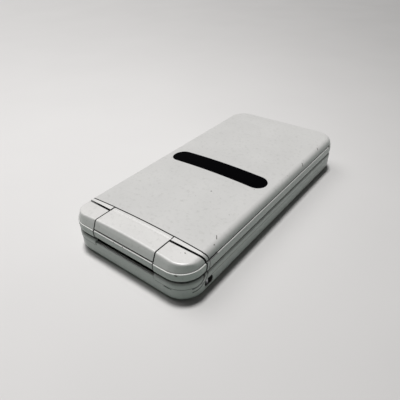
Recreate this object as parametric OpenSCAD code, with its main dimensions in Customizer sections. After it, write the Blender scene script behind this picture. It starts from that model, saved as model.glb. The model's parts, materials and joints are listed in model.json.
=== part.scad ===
// Clamshell mobile phone, shown closed and lying on its back.
// The base lies at the bottom and holds the keypad. The lid lies on it and holds
// the displays. The hinge end is at -Y, the free end at +Y, and the side whose
// strap eyelet is open lies at +X. The origin is at the middle of the base's
// underside. All dimensions are in millimetres.

/* [Body] */
// Width of the closed phone
body_w = 50; // [49.6:0.2:51]
// Length of the closed phone
body_l = 102.8; // [102:0.4:108]
// Height of the base, from its underside to its deck
base_h = 7.25; // [7.2:0.05:7.5]
// Radius of the four corners in plan
corner_r = 7.7; // [7.2:0.1:8.2]
// Rounding of the bottom edge of the base
bottom_r = 2; // [1.6:0.1:2.2]
// Thickness of the casing walls
wall = 1.2; // [1.1:0.05:1.3]
// Thickness of the floor of the base
floor_t = 0.9; // [0.85:0.05:0.95]

/* [Lid] */
// Gap between the base and the closed lid
lid_gap = 0.3; // [0.25:0.05:0.4]
// Height of the band round the lid, below its outer cover
band_h = 3.45; // [3.4:0.05:3.6]
// Height from the top of the band to the highest point of the cover
cover_h = 3.67; // [3.6:0.05:3.95]
// Radius of the crown that runs across the lid
crown_r = 298.5; // [280:0.5:340]
// Rounding of the long edges of the outer cover
cover_r = 2.3; // [2.2:0.05:2.35]
// Distance that the outer cover sits in from the band
cover_inset = 0.4; // [0.3:0.05:0.5]
// Height of the dark parting line above the band
parting_h = 0.25; // [0.2:0.05:0.3]

/* [Hinge] */
// Distance from the hinge end of the phone to the hinge axis
hinge_back = 3.8; // [3.7:0.05:3.9]
// Height of the hinge axis
hinge_h = 10.4; // [10.35:0.05:10.5]
// Width of the barrel between the two hinge caps
barrel_w = 25.1; // [24.6:0.1:25.4]
// Radius of the underside of the barrel
barrel_r = 4; // [3.9:0.05:4.05]
// Radius of the hinge caps about the hinge axis, on the lid's side
cap_r = 5.43; // [5.35:0.01:5.45]
// Gap between the hinge caps and the lid's end
cap_gap = 0.45; // [0.4:0.05:0.5]
// Gap at each end of the barrel
barrel_gap = 0.25; // [0.2:0.05:0.3]
// Radius of the hinge shaft
shaft_r = 1.2; // [1.1:0.05:1.3]
// Clearance between the shaft and what turns on it
shaft_clear = 0.05; // [0.03:0.01:0.08]
// Radius of the hinge cartridge
cartridge_r = 2.5; // [2.4:0.05:2.55]

/* [Displays] */
// Distance from each side of the phone to the pill shaped outer display
pill_side = 4.35; // [4.3:0.05:5]
// Width of the pill shaped outer display
pill_w = 7.8; // [7:0.1:8.4]
// Distance of the outer display from the middle, towards the hinge
pill_back = 1.9; // [1:0.1:3]
// Width of the bezel on each side of the main display window
bezel_side = 4.4; // [4.2:0.1:5]
// Distance from the hinge end of the phone to the main display window
bezel_low = 14.9; // [14.8:0.1:15.5]
// Distance from the main display window to the free end of the phone
bezel_high = 11.9; // [11.8:0.1:12.5]

/* [Keypad] */
// Distance from each side of the phone to the keys
keypad_side = 3.7; // [3.6:0.05:4]
// Space between two keys side by side
key_gap_x = 0.6; // [0.5:0.05:0.8]
// Space between two rows of keys
key_gap_y = 1.1; // [1:0.05:1.4]
// Travel of a pressed key
key_travel = 0.25; // [0.2:0.05:0.3]
// Clearance between a key and its opening
key_clear = 0.15; // [0.12:0.01:0.2]
// Outer radius of the ring key
ring_r = 10.4; // [9.8:0.1:10.6]
// Radius of the centre key in the ring
centre_r = 4.9; // [4.5:0.1:5]

/* [Power] */
// Distance from each side of the phone to the battery pack
battery_side = 7.5; // [7.3:0.1:8]
// Distance from the hinge end of the phone to the battery pack
battery_low = 20.4; // [20.3:0.1:21]
// Distance from the battery pack to the free end of the phone
battery_high = 38.4; // [38.2:0.1:40]
// Height of the battery pack
battery_h = 3.5; // [3.3:0.05:3.55]
// Travel of the battery cover
cover_travel = 2.5; // [2:0.1:2.6]

/* [Hidden] */

$fn = 64;
crown_fn = 720;
over = 5;

// Paint, plastic and metal colours
pearl = [0.86, 0.88, 0.86];
pearl_dark = [0.78, 0.8, 0.78];
black = [0.03, 0.03, 0.04];
graphite = [0.16, 0.17, 0.18];
steel = [0.72, 0.73, 0.75];
board = [0.08, 0.3, 0.2];

// Levels, from the underside upwards
parting_z = 5;
lower_inset = 0.1;
parting_gap = 0.12;
lid_z = base_h + lid_gap;
band_z = lid_z + band_h;
cover_z = band_z + parting_h;
crown_z = band_z + cover_h;
plate_t = 0.8;
crown_t = 1.97;
ceiling_z = crown_z - crown_t;
deck_t = 0.85;
deck_under = base_h - deck_t;

// The half sizes of the closed phone
half_w = body_w / 2;
half_l = body_l / 2;

// The rounded edges
rim_r = 0.9;
ledge_r = 0.15;

// The hinge, seen along its axis
hinge_y = hinge_back - half_l;
lid_end_r = cap_r + cap_gap;
strip_t = 1.02;
strip_r = lid_end_r + strip_t;
cover_end_r = strip_r + parting_h;
strip_end = 9.85;
strip_end_y = strip_end - half_l;
cover_end_y = strip_end_y + parting_h;
barrel_half = barrel_w / 2;
cap_x = barrel_half + barrel_gap;
barrel_face = 0.1;
well_r = 5;
well_wall = 0.6;
well_rim_z = 6.25;
cap_slope = 24.3;
cap_edge_r = 1.2;
cap_inset = 0.3;
cap_top_z = crown_z - crown_r + sqrt(pow(crown_r, 2) - pow(cap_x, 2));
cap_foot_r = 1.3;
cap_foot_z = base_h + 0.4;
neck_inset = 1.1;
bore_clear = 0.02;
shaft_in = 0.5;
shaft_out = cap_x + 4.2;
cable_l = 7.4;
cable_r = 2.2;
bush_in = cable_l + 0.6;

// The cover's long edge is a quarter round that meets the crown without a crease
edge_x = half_w - cover_inset - cover_r;
edge_tilt = asin(edge_x / (crown_r - cover_r));
edge_z = crown_z - crown_r + (crown_r - cover_r) * cos(edge_tilt);
edge_top = edge_z + cover_r;
slab_inset = cover_inset + cover_r * (1 - sin(edge_tilt));

// The cover falls away at the free end, from the crown to the quarter round
roll_y = half_l - 14.5;
roll_end = half_l - slab_inset;
roll_drop = crown_z - edge_top;
roll_r = (pow(roll_end - roll_y, 2) + pow(roll_drop, 2)) / (2 * roll_drop);

// The lid's inside
end_wall = 0.4;
lid_cavity_y = strip_r + end_wall + hinge_y;
window_z = lid_z + 0.07;
window_t = 0.65;
window_w = body_w - 2 * bezel_side;
window_l = body_l - bezel_low - bezel_high;
window_y = (bezel_low - bezel_high) / 2;
window_corner = 1.5;
pill_l = body_w - 2 * pill_side;
inner_z = lid_z + plate_t + 0.05;
display_t = 1.7;
lid_board_z = inner_z + display_t + 0.1;
lid_board_t = 0.6;
sub_display_z = lid_board_z + lid_board_t + 0.1;
earpiece_w = 12;
earpiece_l = 6.6;
earpiece_t = 2.15;
screw_r = 0.6;
screw_head_r = 1.15;
screw_head_t = 0.5;
boss_r = 1.6;
lid_screw_x = half_w - 3.5;
boss_clear = 0.3;
lid_screw_low = lid_cavity_y + boss_clear + boss_r;
lid_screw_high = half_l - 6.9;
lid_screw_tip_x = half_w - 5;
bumper_r = 1.3;
bumper_t = 0.22;
bumper_x = half_w - 8;
bumper_y = half_l - 4;
earpiece_y = half_l - 7.4;

// The base's inside
battery_z = floor_t + 0.1;
battery_w = body_w - 2 * battery_side;
battery_l = body_l - battery_low - battery_high;
battery_y = (battery_low - battery_high) / 2;
board_z = battery_z + battery_h + 0.1;
board_t = 0.6;
board_top = board_z + board_t;
dome_t = 0.15;
mat_z = board_top + 0.35;
mat_t = 0.3;
mat_top = mat_z + mat_t;
key_z = mat_top + key_travel + 0.1;
key_top = base_h - 0.1;
key_crown_r = 34;
key_corner = 1.5;
base_screw_x = half_w - 4.2;
base_screw_back = 14.2;
base_screw_end = 5.6;
base_screw_low = base_screw_back - half_l;
base_screw_high = half_l - base_screw_end;
cover_slot_clear = 0.1;
cover_plate_w = battery_w + 2;
cover_plate_l = battery_l + 3.8;
tongue_w = 0.5;
tongue_l = cover_plate_l - 8;
tongue_z = 0.45;
mat_back = 15.4;
mat_end = 11.4;
mat_low = mat_back - half_l;
mat_high = half_l - mat_end;
contact_pitch = 3;
can_w = half_w - 8;
can_x = (half_w - 3.8) / 2;
can_y = battery_y + battery_l / 2 + 8;
can_l_left = half_l - 10.4 - can_y;
can_l_right = half_l - 19.4 - can_y;
can_t = 0.2;
antenna_w = body_w - 20;
antenna_l = 4.4;
antenna_t = 0.5;
antenna_y = half_l - 5;
motor_r = 4;
motor_end = 13.2;
motor_y = half_l - motor_end;

// The keypad, from the ring key at the hinge end to the last row of digits
key_pitch_x = (body_w - 2 * keypad_side + key_gap_x) / 3;
key_w = key_pitch_x - key_gap_x;
function_back = 44.9;
function_y = function_back - half_l;
function_l = 7;
digit_back = 55.9;
digit_y = digit_back - half_l;
last_row_end = 15.4;
last_row_y = half_l - last_row_end;
key_pitch_y = (last_row_y - digit_y) / 3;
key_l = key_pitch_y - key_gap_y;
nav_back = 27.4;
nav_y = nav_back - half_l;
nav_clear = 0.3;
soft_in = ring_r + 2.6;
soft_out = half_w - 3;
soft_w = soft_out - soft_in;
soft_l = 10;
soft_x = (soft_in + soft_out) / 2;
soft_upper_y = nav_y - 6;
soft_lower_y = nav_y + 6;
nav_z = key_z + 0.1;
nav_top = base_h - 0.2;
ring_hole_r = centre_r + 0.4;
carrier_in = 5.6;
carrier_out = 7;
carrier_t = 0.2;

// Openings in the sides of the base
strap_back = 10.2;
strap_y = strap_back - half_l;
strap_l = 4;
strap_corner_r = 1;
strap_z = 2.2;
strap_h = 2.6;
strap_deep = 3;
strap_post_r = 0.5;
strap_post_x = half_w - 1.1;
port_y = 10;
port_l = 14;
port_z = 1.7;
port_h = 2.9;
flap_t = 0.9;
flap_r = flap_t / 2;
flap_clear = 0.1;
side_key_y = -16;
side_key_l = 9.8;
side_key_h = 2.2;
side_key_z = 2;
camera_x = -half_w / 2;
camera_back = 9.6;
camera_y = camera_back - half_l;
camera_r = 3.6;
speaker_x = half_w / 2;
speaker_w = 12;
speaker_l = 8.6;
mic_y = half_l - 5.8;

// ---------------------------------------------------------------- helpers

// A rectangle with round corners, in plan
module round_rect(w, l, r) {
    square([w, l - 2 * r], center = true);
    square([w - 2 * r, l], center = true);
    for (x = [-1, 1], y = [-1, 1])
        translate([x * (w / 2 - r), y * (l / 2 - r)]) circle(r);
}

// A plate with round corners, from one level to another
module plate(w, l, r, low, high) {
    translate([0, 0, low]) linear_extrude(high - low) round_rect(w, l, r);
}

// A box centred in X and Y, from one level to another
module block(w, l, low, high) {
    translate([-w / 2, -l / 2, low]) cube([w, l, high - low]);
}

// A solid whose edge profile runs all round the phone's outline. The profile
// lies in X from 0 to the corner radius, and in Y it gives the height.
module round_outline(low, high, r = corner_r) {
    for (turn = [0:3]) {
        across = turn % 2 == 0 ? half_w : half_l;
        along = turn % 2 == 0 ? half_l : half_w;
        rotate([0, 0, 90 * turn]) translate([across - r, along - r, 0]) {
            rotate_extrude(angle = 90) children();
            rotate([90, 0, 0]) linear_extrude(2 * (along - r)) children();
        }
    }
    block(body_w - 2 * r, body_l - 2 * r, low, high);
}

// A slab of the phone's outline, moved in by an inset
module outline(inset, low, high) {
    plate(body_w - 2 * inset, body_l - 2 * inset, corner_r - inset, low, high);
}

// A cylinder about the hinge axis, between two places across the phone
module hinge_round(r, x1, x2) {
    translate([x1, hinge_y, hinge_h]) rotate([0, 90, 0]) cylinder(r = r, h = x2 - x1, $fn = 128);
}

// Everything below the crown that runs across the phone
module under_crown() {
    translate([0, half_l + over, crown_z - crown_r]) rotate([90, 0, 0])
        cylinder(r = crown_r, h = body_l + 2 * over, $fn = crown_fn);
}

// A round post or hole, from one level to another
module post(x, y, r, low, high) {
    translate([x, y, low]) cylinder(r = r, h = high - low);
}

// ------------------------------------------------------------ outer forms

// The base below its parting line: round bottom edge and straight sides
module lower_profile() {
    side = corner_r - lower_inset;
    translate([0, bottom_r]) square([side, parting_z - bottom_r]);
    square([side - bottom_r, bottom_r + 0.01]);
    intersection() {
        translate([side - bottom_r, bottom_r]) circle(bottom_r);
        square([corner_r, bottom_r + 0.01]);
    }
}

// The base above its parting line: straight sides and a round top edge
module upper_profile() {
    low = parting_z + parting_gap;
    translate([0, low]) square([corner_r, base_h - rim_r - low]);
    translate([0, low]) square([corner_r - rim_r, base_h - low]);
    intersection() {
        translate([corner_r - rim_r, base_h - rim_r]) circle(rim_r);
        translate([0, low]) square([corner_r, base_h - low]);
    }
}

// The band of the lid: round lower edge and a fine round ledge on top
module band_profile() {
    translate([0, lid_z + rim_r]) square([corner_r, band_h - rim_r - ledge_r]);
    translate([0, lid_z]) square([corner_r - rim_r, band_h]);
    translate([0, lid_z + rim_r]) square([corner_r - ledge_r, band_h - rim_r]);
    intersection() {
        translate([corner_r - rim_r, lid_z + rim_r]) circle(rim_r);
        translate([0, lid_z]) square([corner_r, band_h / 2]);
    }
    translate([corner_r - ledge_r, band_z - ledge_r]) circle(ledge_r);
}

// The outer cover of the lid: a quarter round above the parting line
module cover_profile(low) {
    middle = corner_r - cover_inset - cover_r;
    translate([0, low]) square([middle, edge_top - low]);
    intersection() {
        translate([middle, edge_z]) circle(cover_r);
        translate([0, low]) square([corner_r, edge_top - low]);
    }
}

// The part of the cover above its quarter round, up to the crown
module crown_slab() {
    intersection() {
        under_crown();
        outline(slab_inset, edge_top - 1.5, crown_z + 1);
        rotate([90, 0, 90]) translate([0, 0, -half_w]) linear_extrude(body_w) {
            translate([-half_l, 0]) square([half_l + roll_y, crown_z]);
            intersection() {
                translate([roll_y, crown_z - roll_r]) circle(roll_r, $fn = crown_fn);
                translate([roll_y - 0.01, 0]) square([half_l - roll_y, crown_z + 1]);
            }
        }
    }
}

// The hinge caps and the barrel cover: a steep face that is rounded into the top
module cap_profile(low, inset) {
    foot = corner_r - inset;
    middle = foot - (cap_edge_r + (cap_top_z - cap_edge_r - low) * sin(cap_slope)) / cos(cap_slope);
    touch = [middle + cap_edge_r * cos(cap_slope), cap_top_z - cap_edge_r + cap_edge_r * sin(cap_slope)];
    polygon([[0, low], [foot, low], touch, [middle, cap_top_z - cap_edge_r], [0, cap_top_z - cap_edge_r]]);
    translate([0, low]) square([middle, cap_top_z - low]);
    intersection() {
        translate([middle, cap_top_z - cap_edge_r]) circle(cap_edge_r);
        translate([0, low]) square([corner_r, cap_top_z - low]);
    }
}

// Everything inside the cross-section of the lid, straight along the phone
module lid_section() {
    intersection() {
        under_crown();
        union() {
            block(2 * edge_x, body_l + 2 * over, 0, crown_z + 1);
            block(2 * (half_w - cover_inset), body_l + 2 * over, 0, edge_z);
            for (side = [-1, 1])
                translate([side * edge_x, half_l + over, edge_z]) rotate([90, 0, 0])
                    cylinder(r = cover_r, h = body_l + 2 * over);
        }
    }
}

// ------------------------------------------------------------------- base

// Screw holes of the base
module base_screw_places() {
    for (side = [-1, 1], y = [base_screw_low, base_screw_high])
        translate([side * base_screw_x, y, 0]) children();
}

// Lower shell of the base, with the battery bay and the rim of the hinge well
module base_lower_case() {
    color(pearl_dark) difference() {
        union() {
            difference() {
                round_outline(0, parting_z) lower_profile();
                outline(wall + lower_inset, floor_t, parting_z + 1);
            }
            // Blocks round the strap eyelet and the screws
            intersection() {
                outline(wall, 0.5, parting_z - 0.4);
                translate([half_w - strap_deep - 2, strap_y - strap_l / 2 - 1, 0])
                    cube([strap_deep + 2, strap_l + 2, parting_z]);
            }
            base_screw_places() cylinder(r = boss_r, h = 2.2);
            // Shelf over the space that the sliding battery cover needs
            translate([0, battery_y + cover_plate_l / 2 + cover_travel / 2, 0])
                block(cover_plate_w + 1, cover_travel + 1.6, floor_t - 0.05, floor_t + 0.4);
            // Rim of the hinge well
            translate([0, -half_l + lower_inset + wall / 2, 0]) {
                block(barrel_w, wall, parting_z - 0.5, well_rim_z - 0.35);
                block(barrel_w, wall - 0.7, parting_z, well_rim_z);
                for (side = [-1, 1])
                    translate([-barrel_half, side * (wall / 2 - 0.35), well_rim_z - 0.35])
                        rotate([0, 90, 0]) cylinder(r = 0.35, h = barrel_w);
            }
        }
        // Battery bay
        translate([0, battery_y + cover_travel / 2, 0])
            plate(cover_plate_w + 2 * cover_slot_clear, cover_plate_l + cover_travel + 2 * cover_slot_clear,
                1.5, -1, floor_t);
        translate([0, battery_y, 0]) block(battery_w + 0.6, battery_l + 0.6, 0, parting_z);
        translate([0, battery_y + cover_travel / 2, 0])
            block(cover_plate_w + 2 * (tongue_w + cover_slot_clear),
                tongue_l + cover_travel + 2 * cover_slot_clear, tongue_z - 0.05, floor_t);
        // Strap eyelet
        translate([half_w - strap_deep, strap_y, strap_z + strap_h / 2]) rotate([0, 90, 0])
            linear_extrude(strap_deep + 1) round_rect(strap_h, strap_l, strap_corner_r);
        translate([strap_post_x, strap_y, strap_z - 0.5]) cylinder(r = strap_post_r, h = parting_z);
        // Port and side key in the other side
        translate([-half_w - 1, port_y - port_l / 2, port_z]) cube([wall + 2, port_l, port_h]);
        translate([-half_w - 1, side_key_y - side_key_l / 2 - 0.1, side_key_z - 0.1])
            cube([wall + 2, side_key_l + 0.2, side_key_h + 0.2]);
        // Camera, loudspeaker slots and screw holes
        post(camera_x, camera_y, camera_r + 0.05, -1, floor_t + 1);
        for (slot = [-2:2])
            translate([speaker_x + slot * 1.6, camera_y, 0]) block(0.7, 6, -1, floor_t + 1);
        base_screw_places() {
            translate([0, 0, -1]) cylinder(r = screw_head_r + 0.1, h = 1 + 1.2);
            translate([0, 0, 1]) cylinder(r = screw_r + 0.1, h = parting_z);
            translate([0, 0, 2.2]) cylinder(r = boss_r + 0.1, h = parting_z);
        }
        // Finger nail notch in the hinge end
        translate([17.9, -half_l + lower_inset, parting_z]) cube([3, 0.5, 0.9], center = true);
        // Room for the hinge caps' feet and the upper shell
        translate([0, 0, parting_z]) difference() {
            block(body_w + 1, body_l + 1, 0, 3);
            translate([0, -half_l, -1]) block(barrel_w + 0.02, 2 * wall + 0.4, 0, 5);
        }
    }
}

// Places of the openings for the keys, each with its own size
module row_opening(y, w, l) {
    translate([0, y, 0]) plate(w, l, key_corner + key_clear, deck_under - 1, base_h + 1);
}

// Upper shell of the base: the deck with its key openings, and the hinge well
module base_upper_case() {
    well_floor = hinge_h - well_r - well_wall;
    color(pearl) difference() {
        union() {
            difference() {
                round_outline(parting_z + parting_gap, base_h) upper_profile();
                outline(wall, parting_z - 1, deck_under);
            }
            // Shell of the hinge well
            intersection() {
                hinge_round(well_r + well_wall, -cap_x - well_wall, cap_x + well_wall);
                block(body_w, body_l - 2 * (wall + lower_inset + 0.1), well_floor - 1, base_h);
            }
            // Screw bosses
            base_screw_places() translate([0, 0, 2.3]) cylinder(r = boss_r, h = deck_under - 2.2);
            // Necks under the hinge caps
            for (side = [-1, 1])
                intersection() {
                    outline(neck_inset, base_h - 1, cap_foot_z);
                    translate([side > 0 ? cap_x : -half_w, -half_l, 0])
                        cube([half_w - cap_x, 6.5, base_h + 1]);
                }
        }
        // Hinge well and the open end over its rim
        hinge_round(well_r, -cap_x, cap_x);
        translate([-cap_x, -half_l - 1, parting_z - 1])
            cube([2 * cap_x, 1 + wall + lower_inset + 0.1, base_h]);
        // Key openings
        for (row = [0:3])
            row_opening(digit_y + row * key_pitch_y, 2 * key_pitch_x + key_w + 2 * key_clear,
                key_l + 2 * key_clear);
        row_opening(function_y, 2 * key_pitch_x + key_w + 2 * key_clear, function_l + 2 * key_clear);
        post(0, nav_y, ring_r + nav_clear, deck_under - 1, base_h + 1);
        for (side = [-1, 1], y = [soft_upper_y, soft_lower_y])
            translate([side * soft_x, y, 0])
                plate(soft_w + 2 * key_clear, soft_l + 2 * key_clear, key_corner + key_clear,
                    deck_under - 1, base_h + 1);
        post(0, mic_y, 0.6, deck_under - 1, base_h + 1);
        base_screw_places() translate([0, 0, 2]) cylinder(r = screw_r, h = 4);
    }
}

// Cover of the battery bay, flush with the underside
module battery_cover() {
    color(pearl_dark) translate([0, battery_y, 0]) difference() {
        union() {
            plate(cover_plate_w, cover_plate_l, 1.4, 0, floor_t - 0.05);
            block(cover_plate_w + 2 * tongue_w, tongue_l, tongue_z, floor_t - 0.05);
        }
        // Thumb grip of five fine grooves
        for (groove = [0:4])
            translate([0, cover_plate_l / 2 - 5 - 1.2 * groove, 0]) block(9, 0.5, -1, 0.25);
    }
}

// Battery pack: a plastic wrapped cell with three contacts let into its end
module battery_pack() {
    color(graphite) translate([0, battery_y, 0]) difference() {
        plate(battery_w, battery_l, 0.8, battery_z, battery_z + battery_h);
        for (contact = [-1:1])
            translate([contact * contact_pitch, battery_l / 2, 0])
                block(1.6, 0.6, battery_z + 1, battery_z + 2.5);
    }
}

// Three sprung contacts that stand down from the board at the battery's end
module battery_contacts() {
    color("gold") for (contact = [-1:1])
        translate([contact * contact_pitch, battery_y + battery_l / 2 + 1.2, 0]) difference() {
            block(1.2, 2.2, battery_z + 1.2, board_z);
            translate([0, 0.4, 0]) block(2, 1.6, battery_z + 1.6, board_z - 0.4);
        }
}

// Board that carries the circuits, cut out round the screw bosses
module main_circuit_board() {
    low = 14.4 - half_l;
    high = half_l - 2.6;
    color(board) difference() {
        translate([0, (low + high) / 2, 0]) plate(body_w - 4.4, high - low, 4, board_z, board_top);
        base_screw_places() translate([0, 0, 1]) cylinder(r = boss_r + 0.3, h = 6);
    }
}

// Two pressed cans over the circuits at the free end
module shield_cans() {
    can_low = battery_z + 0.6;
    color(steel) for (can = [[-can_x, can_l_left], [can_x, can_l_right]])
        translate([can[0], can_y + can[1] / 2, 0]) difference() {
            block(can_w, can[1], can_low, board_z);
            block(can_w - 2 * can_t, can[1] - 2 * can_t, can_low + can_t, board_z + 1);
        }
}

// Sheet of snap domes, one under each key
module dome_sheet() {
    color([0.85, 0.85, 0.8]) difference() {
        union() {
            translate([0, (mat_low + mat_high) / 2, 0])
                block(body_w - 8, mat_high - mat_low, board_top, board_top + dome_t);
            key_places() post(0, 0, 2, board_top, board_top + dome_t + 0.12);
        }
        base_screw_places() post(0, 0, boss_r + 0.3, 0, base_h);
    }
}

// Rubber mat under the keys, open under the ring key
module keypad_mat() {
    color([0.9, 0.9, 0.88]) difference() {
        translate([0, (mat_low + mat_high) / 2, 0])
            plate(body_w - 7, mat_high - mat_low, 2, mat_z, mat_top);
        post(0, nav_y, ring_r + 0.4, mat_z - 1, mat_top + 1);
        base_screw_places() post(0, 0, boss_r + 0.3, 0, base_h);
    }
}

// Antenna strip on its carrier at the free end
module antenna() {
    color("gold") translate([0, antenna_y, 0]) difference() {
        block(antenna_w, antenna_l, battery_z + 0.3, board_z);
        block(antenna_w - 2 * antenna_t, antenna_l - 2 * antenna_t, battery_z, board_z - 0.3);
    }
}

// Loudspeaker behind its slots in the floor
module loudspeaker() {
    color(graphite) translate([speaker_x, camera_y, 0]) {
        plate(speaker_w, speaker_l, 1, floor_t + 0.05, floor_t + 2.6);
        block(speaker_w / 3, speaker_l / 3, floor_t + 2.6, floor_t + 3.1);
    }
}

// Coin shaped vibration motor
module vibration_motor() {
    color(steel) post(can_x + 1.9, motor_y, motor_r, battery_z + 0.4, board_z);
}

// Microphone under its hole in the deck
module microphone() {
    color(steel) difference() {
        post(0, mic_y, 2, board_top, deck_under - 0.05);
        post(0, mic_y, 0.4, deck_under - 0.4, deck_under + 1);
    }
}

// Rear camera: a square housing with a round lens barrel
module camera_module() {
    color(black) {
        translate([camera_x, camera_y, 0]) block(7.8, 7.8, floor_t + 1, board_z - 0.1);
        difference() {
            post(camera_x, camera_y, 2.9, floor_t + 0.1, floor_t + 1);
            post(camera_x, camera_y, 1.4, floor_t, floor_t + 0.6);
        }
    }
}

// Round window over the camera, set in from the underside
module camera_window() {
    color([0.05, 0.05, 0.07]) post(camera_x, camera_y, camera_r, 0.2, floor_t);
}

// Metal shell of the charging port, open at the side
module port_socket() {
    color(steel) translate([-half_w + wall + 0.3, port_y, port_z + port_h / 2]) difference() {
        translate([0, -5.2, -port_h / 2 + 0.15]) cube([4.6, 10.4, port_h - 0.3]);
        translate([-1, -4.9, -port_h / 2 + 0.45]) cube([4.6, 9.8, port_h - 0.9]);
    }
    color(black) translate([-half_w + wall + 1.2, port_y - 4, port_z + port_h / 2 - 0.3]) cube([4, 8, 0.6]);
}

// Flap over the charging port, with its pin at the end nearer the free end
module port_cover() {
    pin_y = port_y + port_l / 2 - flap_r - flap_clear;
    x = -half_w + lower_inset;
    low = port_z + flap_clear;
    high = port_z + port_h - flap_clear;
    color(pearl) {
        translate([x, port_y - port_l / 2 + flap_clear, low])
            cube([flap_t, pin_y - port_y + port_l / 2 - flap_clear, high - low]);
        post(x + flap_r, pin_y, flap_r, low, high);
    }
}

// Key in the side of the base, with a collar that keeps it in
module side_key() {
    color(pearl) translate([-half_w, side_key_y, side_key_z]) {
        translate([0, -side_key_l / 2, 0]) cube([wall + 0.7, side_key_l, side_key_h]);
        translate([wall + 0.4, -side_key_l / 2 - 0.6, -0.3])
            cube([0.5, side_key_l + 1.2, side_key_h + 0.6]);
    }
}

// Steel post across the strap eyelet
module strap_post() {
    color(steel) post(strap_post_x, strap_y, strap_post_r, strap_z - 0.5, strap_z + strap_h + 0.2);
}

// Four screws that hold the two shells of the base together
module base_screws() {
    color(steel) base_screw_places() difference() {
        union() {
            translate([0, 0, 0.6]) cylinder(r = screw_head_r, h = screw_head_t);
            translate([0, 0, 1]) cylinder(r = screw_r, h = 4.2);
        }
        for (turn = [0, 90]) rotate([0, 0, turn]) block(1.3, 0.3, 0, 0.8);
    }
}

// ------------------------------------------------------------------ hinge

// One hinge cap: it stands on the base and carries one end of the hinge
module hinge_cap(side) {
    inner = side > 0 ? cap_x : -half_w;
    color(pearl) difference() {
        intersection() {
            round_outline(cap_foot_z, cap_top_z) {
                cap_profile(band_z, cap_inset);
                translate([0, cap_foot_z]) square([corner_r - cap_foot_r, band_z - cap_foot_z]);
                translate([0, cap_foot_z + cap_foot_r])
                    square([corner_r, band_z - cap_foot_z - cap_foot_r - ledge_r]);
                translate([0, cap_foot_z + cap_foot_r])
                    square([corner_r - ledge_r, band_z - cap_foot_z - cap_foot_r]);
                translate([corner_r - cap_foot_r, cap_foot_z + cap_foot_r]) circle(cap_foot_r);
                translate([corner_r - ledge_r, band_z - ledge_r]) circle(ledge_r);
            }
            union() {
                block(body_w + 2, body_l + 2, 0, band_z);
                lid_section();
            }
            union() {
                hinge_round(cap_r, inner, inner + half_w - cap_x);
                translate([inner, -half_l - 1, 0]) cube([half_w - cap_x, 1 + hinge_back, crown_z + 1]);
            }
        }
        hinge_round(shaft_r, -shaft_out - 0.1, shaft_out + 0.1);
    }
}

module hinge_cap_left() {
    hinge_cap(-1);
}

module hinge_cap_right() {
    hinge_cap(1);
}

// Shaft of the detent hinge, fixed in the cap on the eyelet's side
module hinge_shaft() {
    color(steel) hinge_round(shaft_r, shaft_in + 1.5, shaft_out);
}

// Plain pin on the other side, fixed in its cap
module hinge_dummy_pin() {
    color(steel) hinge_round(shaft_r, -shaft_out, -bush_in - 0.4);
}

// Housing of the detent hinge, pressed into the barrel
module hinge_cartridge() {
    color(steel) difference() {
        hinge_round(cartridge_r, shaft_in, barrel_half - 0.1);
        hinge_round(shaft_r + shaft_clear, shaft_in + 1, barrel_half + 1);
    }
}

// Plain bush that turns on the dummy pin
module hinge_bush() {
    color(graphite) difference() {
        hinge_round(cartridge_r, -barrel_half + 0.1, -bush_in);
        hinge_round(shaft_r + shaft_clear, -barrel_half - 1, 1 - bush_in);
    }
}

// Flexible circuit, rolled up inside the barrel between cartridge and bush
module hinge_flex_cable() {
    color([0.75, 0.45, 0.1]) difference() {
        union() {
            hinge_round(cable_r, -cable_l, 0);
            translate([-cable_l, hinge_y, hinge_h - 0.9]) cube([cable_l, 7, 0.25]);
        }
        hinge_round(cable_r - 0.7, -cable_l - 1, 1);
    }
}

// -------------------------------------------------------------------- keys

// One key: a round cornered plate whose top is crowned along the phone
module key_cap(x, y, w, l) {
    color(pearl) translate([x, y, 0]) intersection() {
        plate(w, l, key_corner, key_z, key_top);
        translate([-w, 0, key_top - key_crown_r]) rotate([0, 90, 0])
            cylinder(r = key_crown_r, h = 2 * w, $fn = 360);
    }
}

// One digit key, by its column (from the reader's left) and its row
module digit_key(column, row) {
    key_cap((1 - column) * key_pitch_x, digit_y + row * key_pitch_y, key_w, key_l);
}

module key_1() { digit_key(0, 0); }
module key_2() { digit_key(1, 0); }
module key_3() { digit_key(2, 0); }
module key_4() { digit_key(0, 1); }
module key_5() { digit_key(1, 1); }
module key_6() { digit_key(2, 1); }
module key_7() { digit_key(0, 2); }
module key_8() { digit_key(1, 2); }
module key_9() { digit_key(2, 2); }
module key_star() { digit_key(0, 3); }
module key_0() { digit_key(1, 3); }
module key_hash() { digit_key(2, 3); }
module key_call() { key_cap(key_pitch_x, function_y, key_w, function_l); }
module key_clear_back() { key_cap(0, function_y, key_w, function_l); }
module key_end() { key_cap(-key_pitch_x, function_y, key_w, function_l); }
module soft_key_left_upper() { key_cap(soft_x, soft_upper_y, soft_w, soft_l); }
module soft_key_left_lower() { key_cap(soft_x, soft_lower_y, soft_w, soft_l); }
module soft_key_right_upper() { key_cap(-soft_x, soft_upper_y, soft_w, soft_l); }
module soft_key_right_lower() { key_cap(-soft_x, soft_lower_y, soft_w, soft_l); }

// The middles of all keys, at the board
module key_places() {
    for (column = [-1:1], row = [0:3])
        translate([column * key_pitch_x, digit_y + row * key_pitch_y, 0]) children();
    for (column = [-1:1]) translate([column * key_pitch_x, function_y, 0]) children();
    for (side = [-1, 1], y = [soft_upper_y, soft_lower_y]) translate([side * soft_x, y, 0]) children();
    translate([0, nav_y, 0]) children();
}

// Gimbal ring that lets the ring key tilt towards and away from the hinge
module nav_carrier() {
    color(graphite) translate([0, nav_y, 0]) difference() {
        post(0, 0, carrier_out, mat_top, mat_top + carrier_t);
        post(0, 0, carrier_in, mat_top - 1, mat_top + 1);
    }
}

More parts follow.
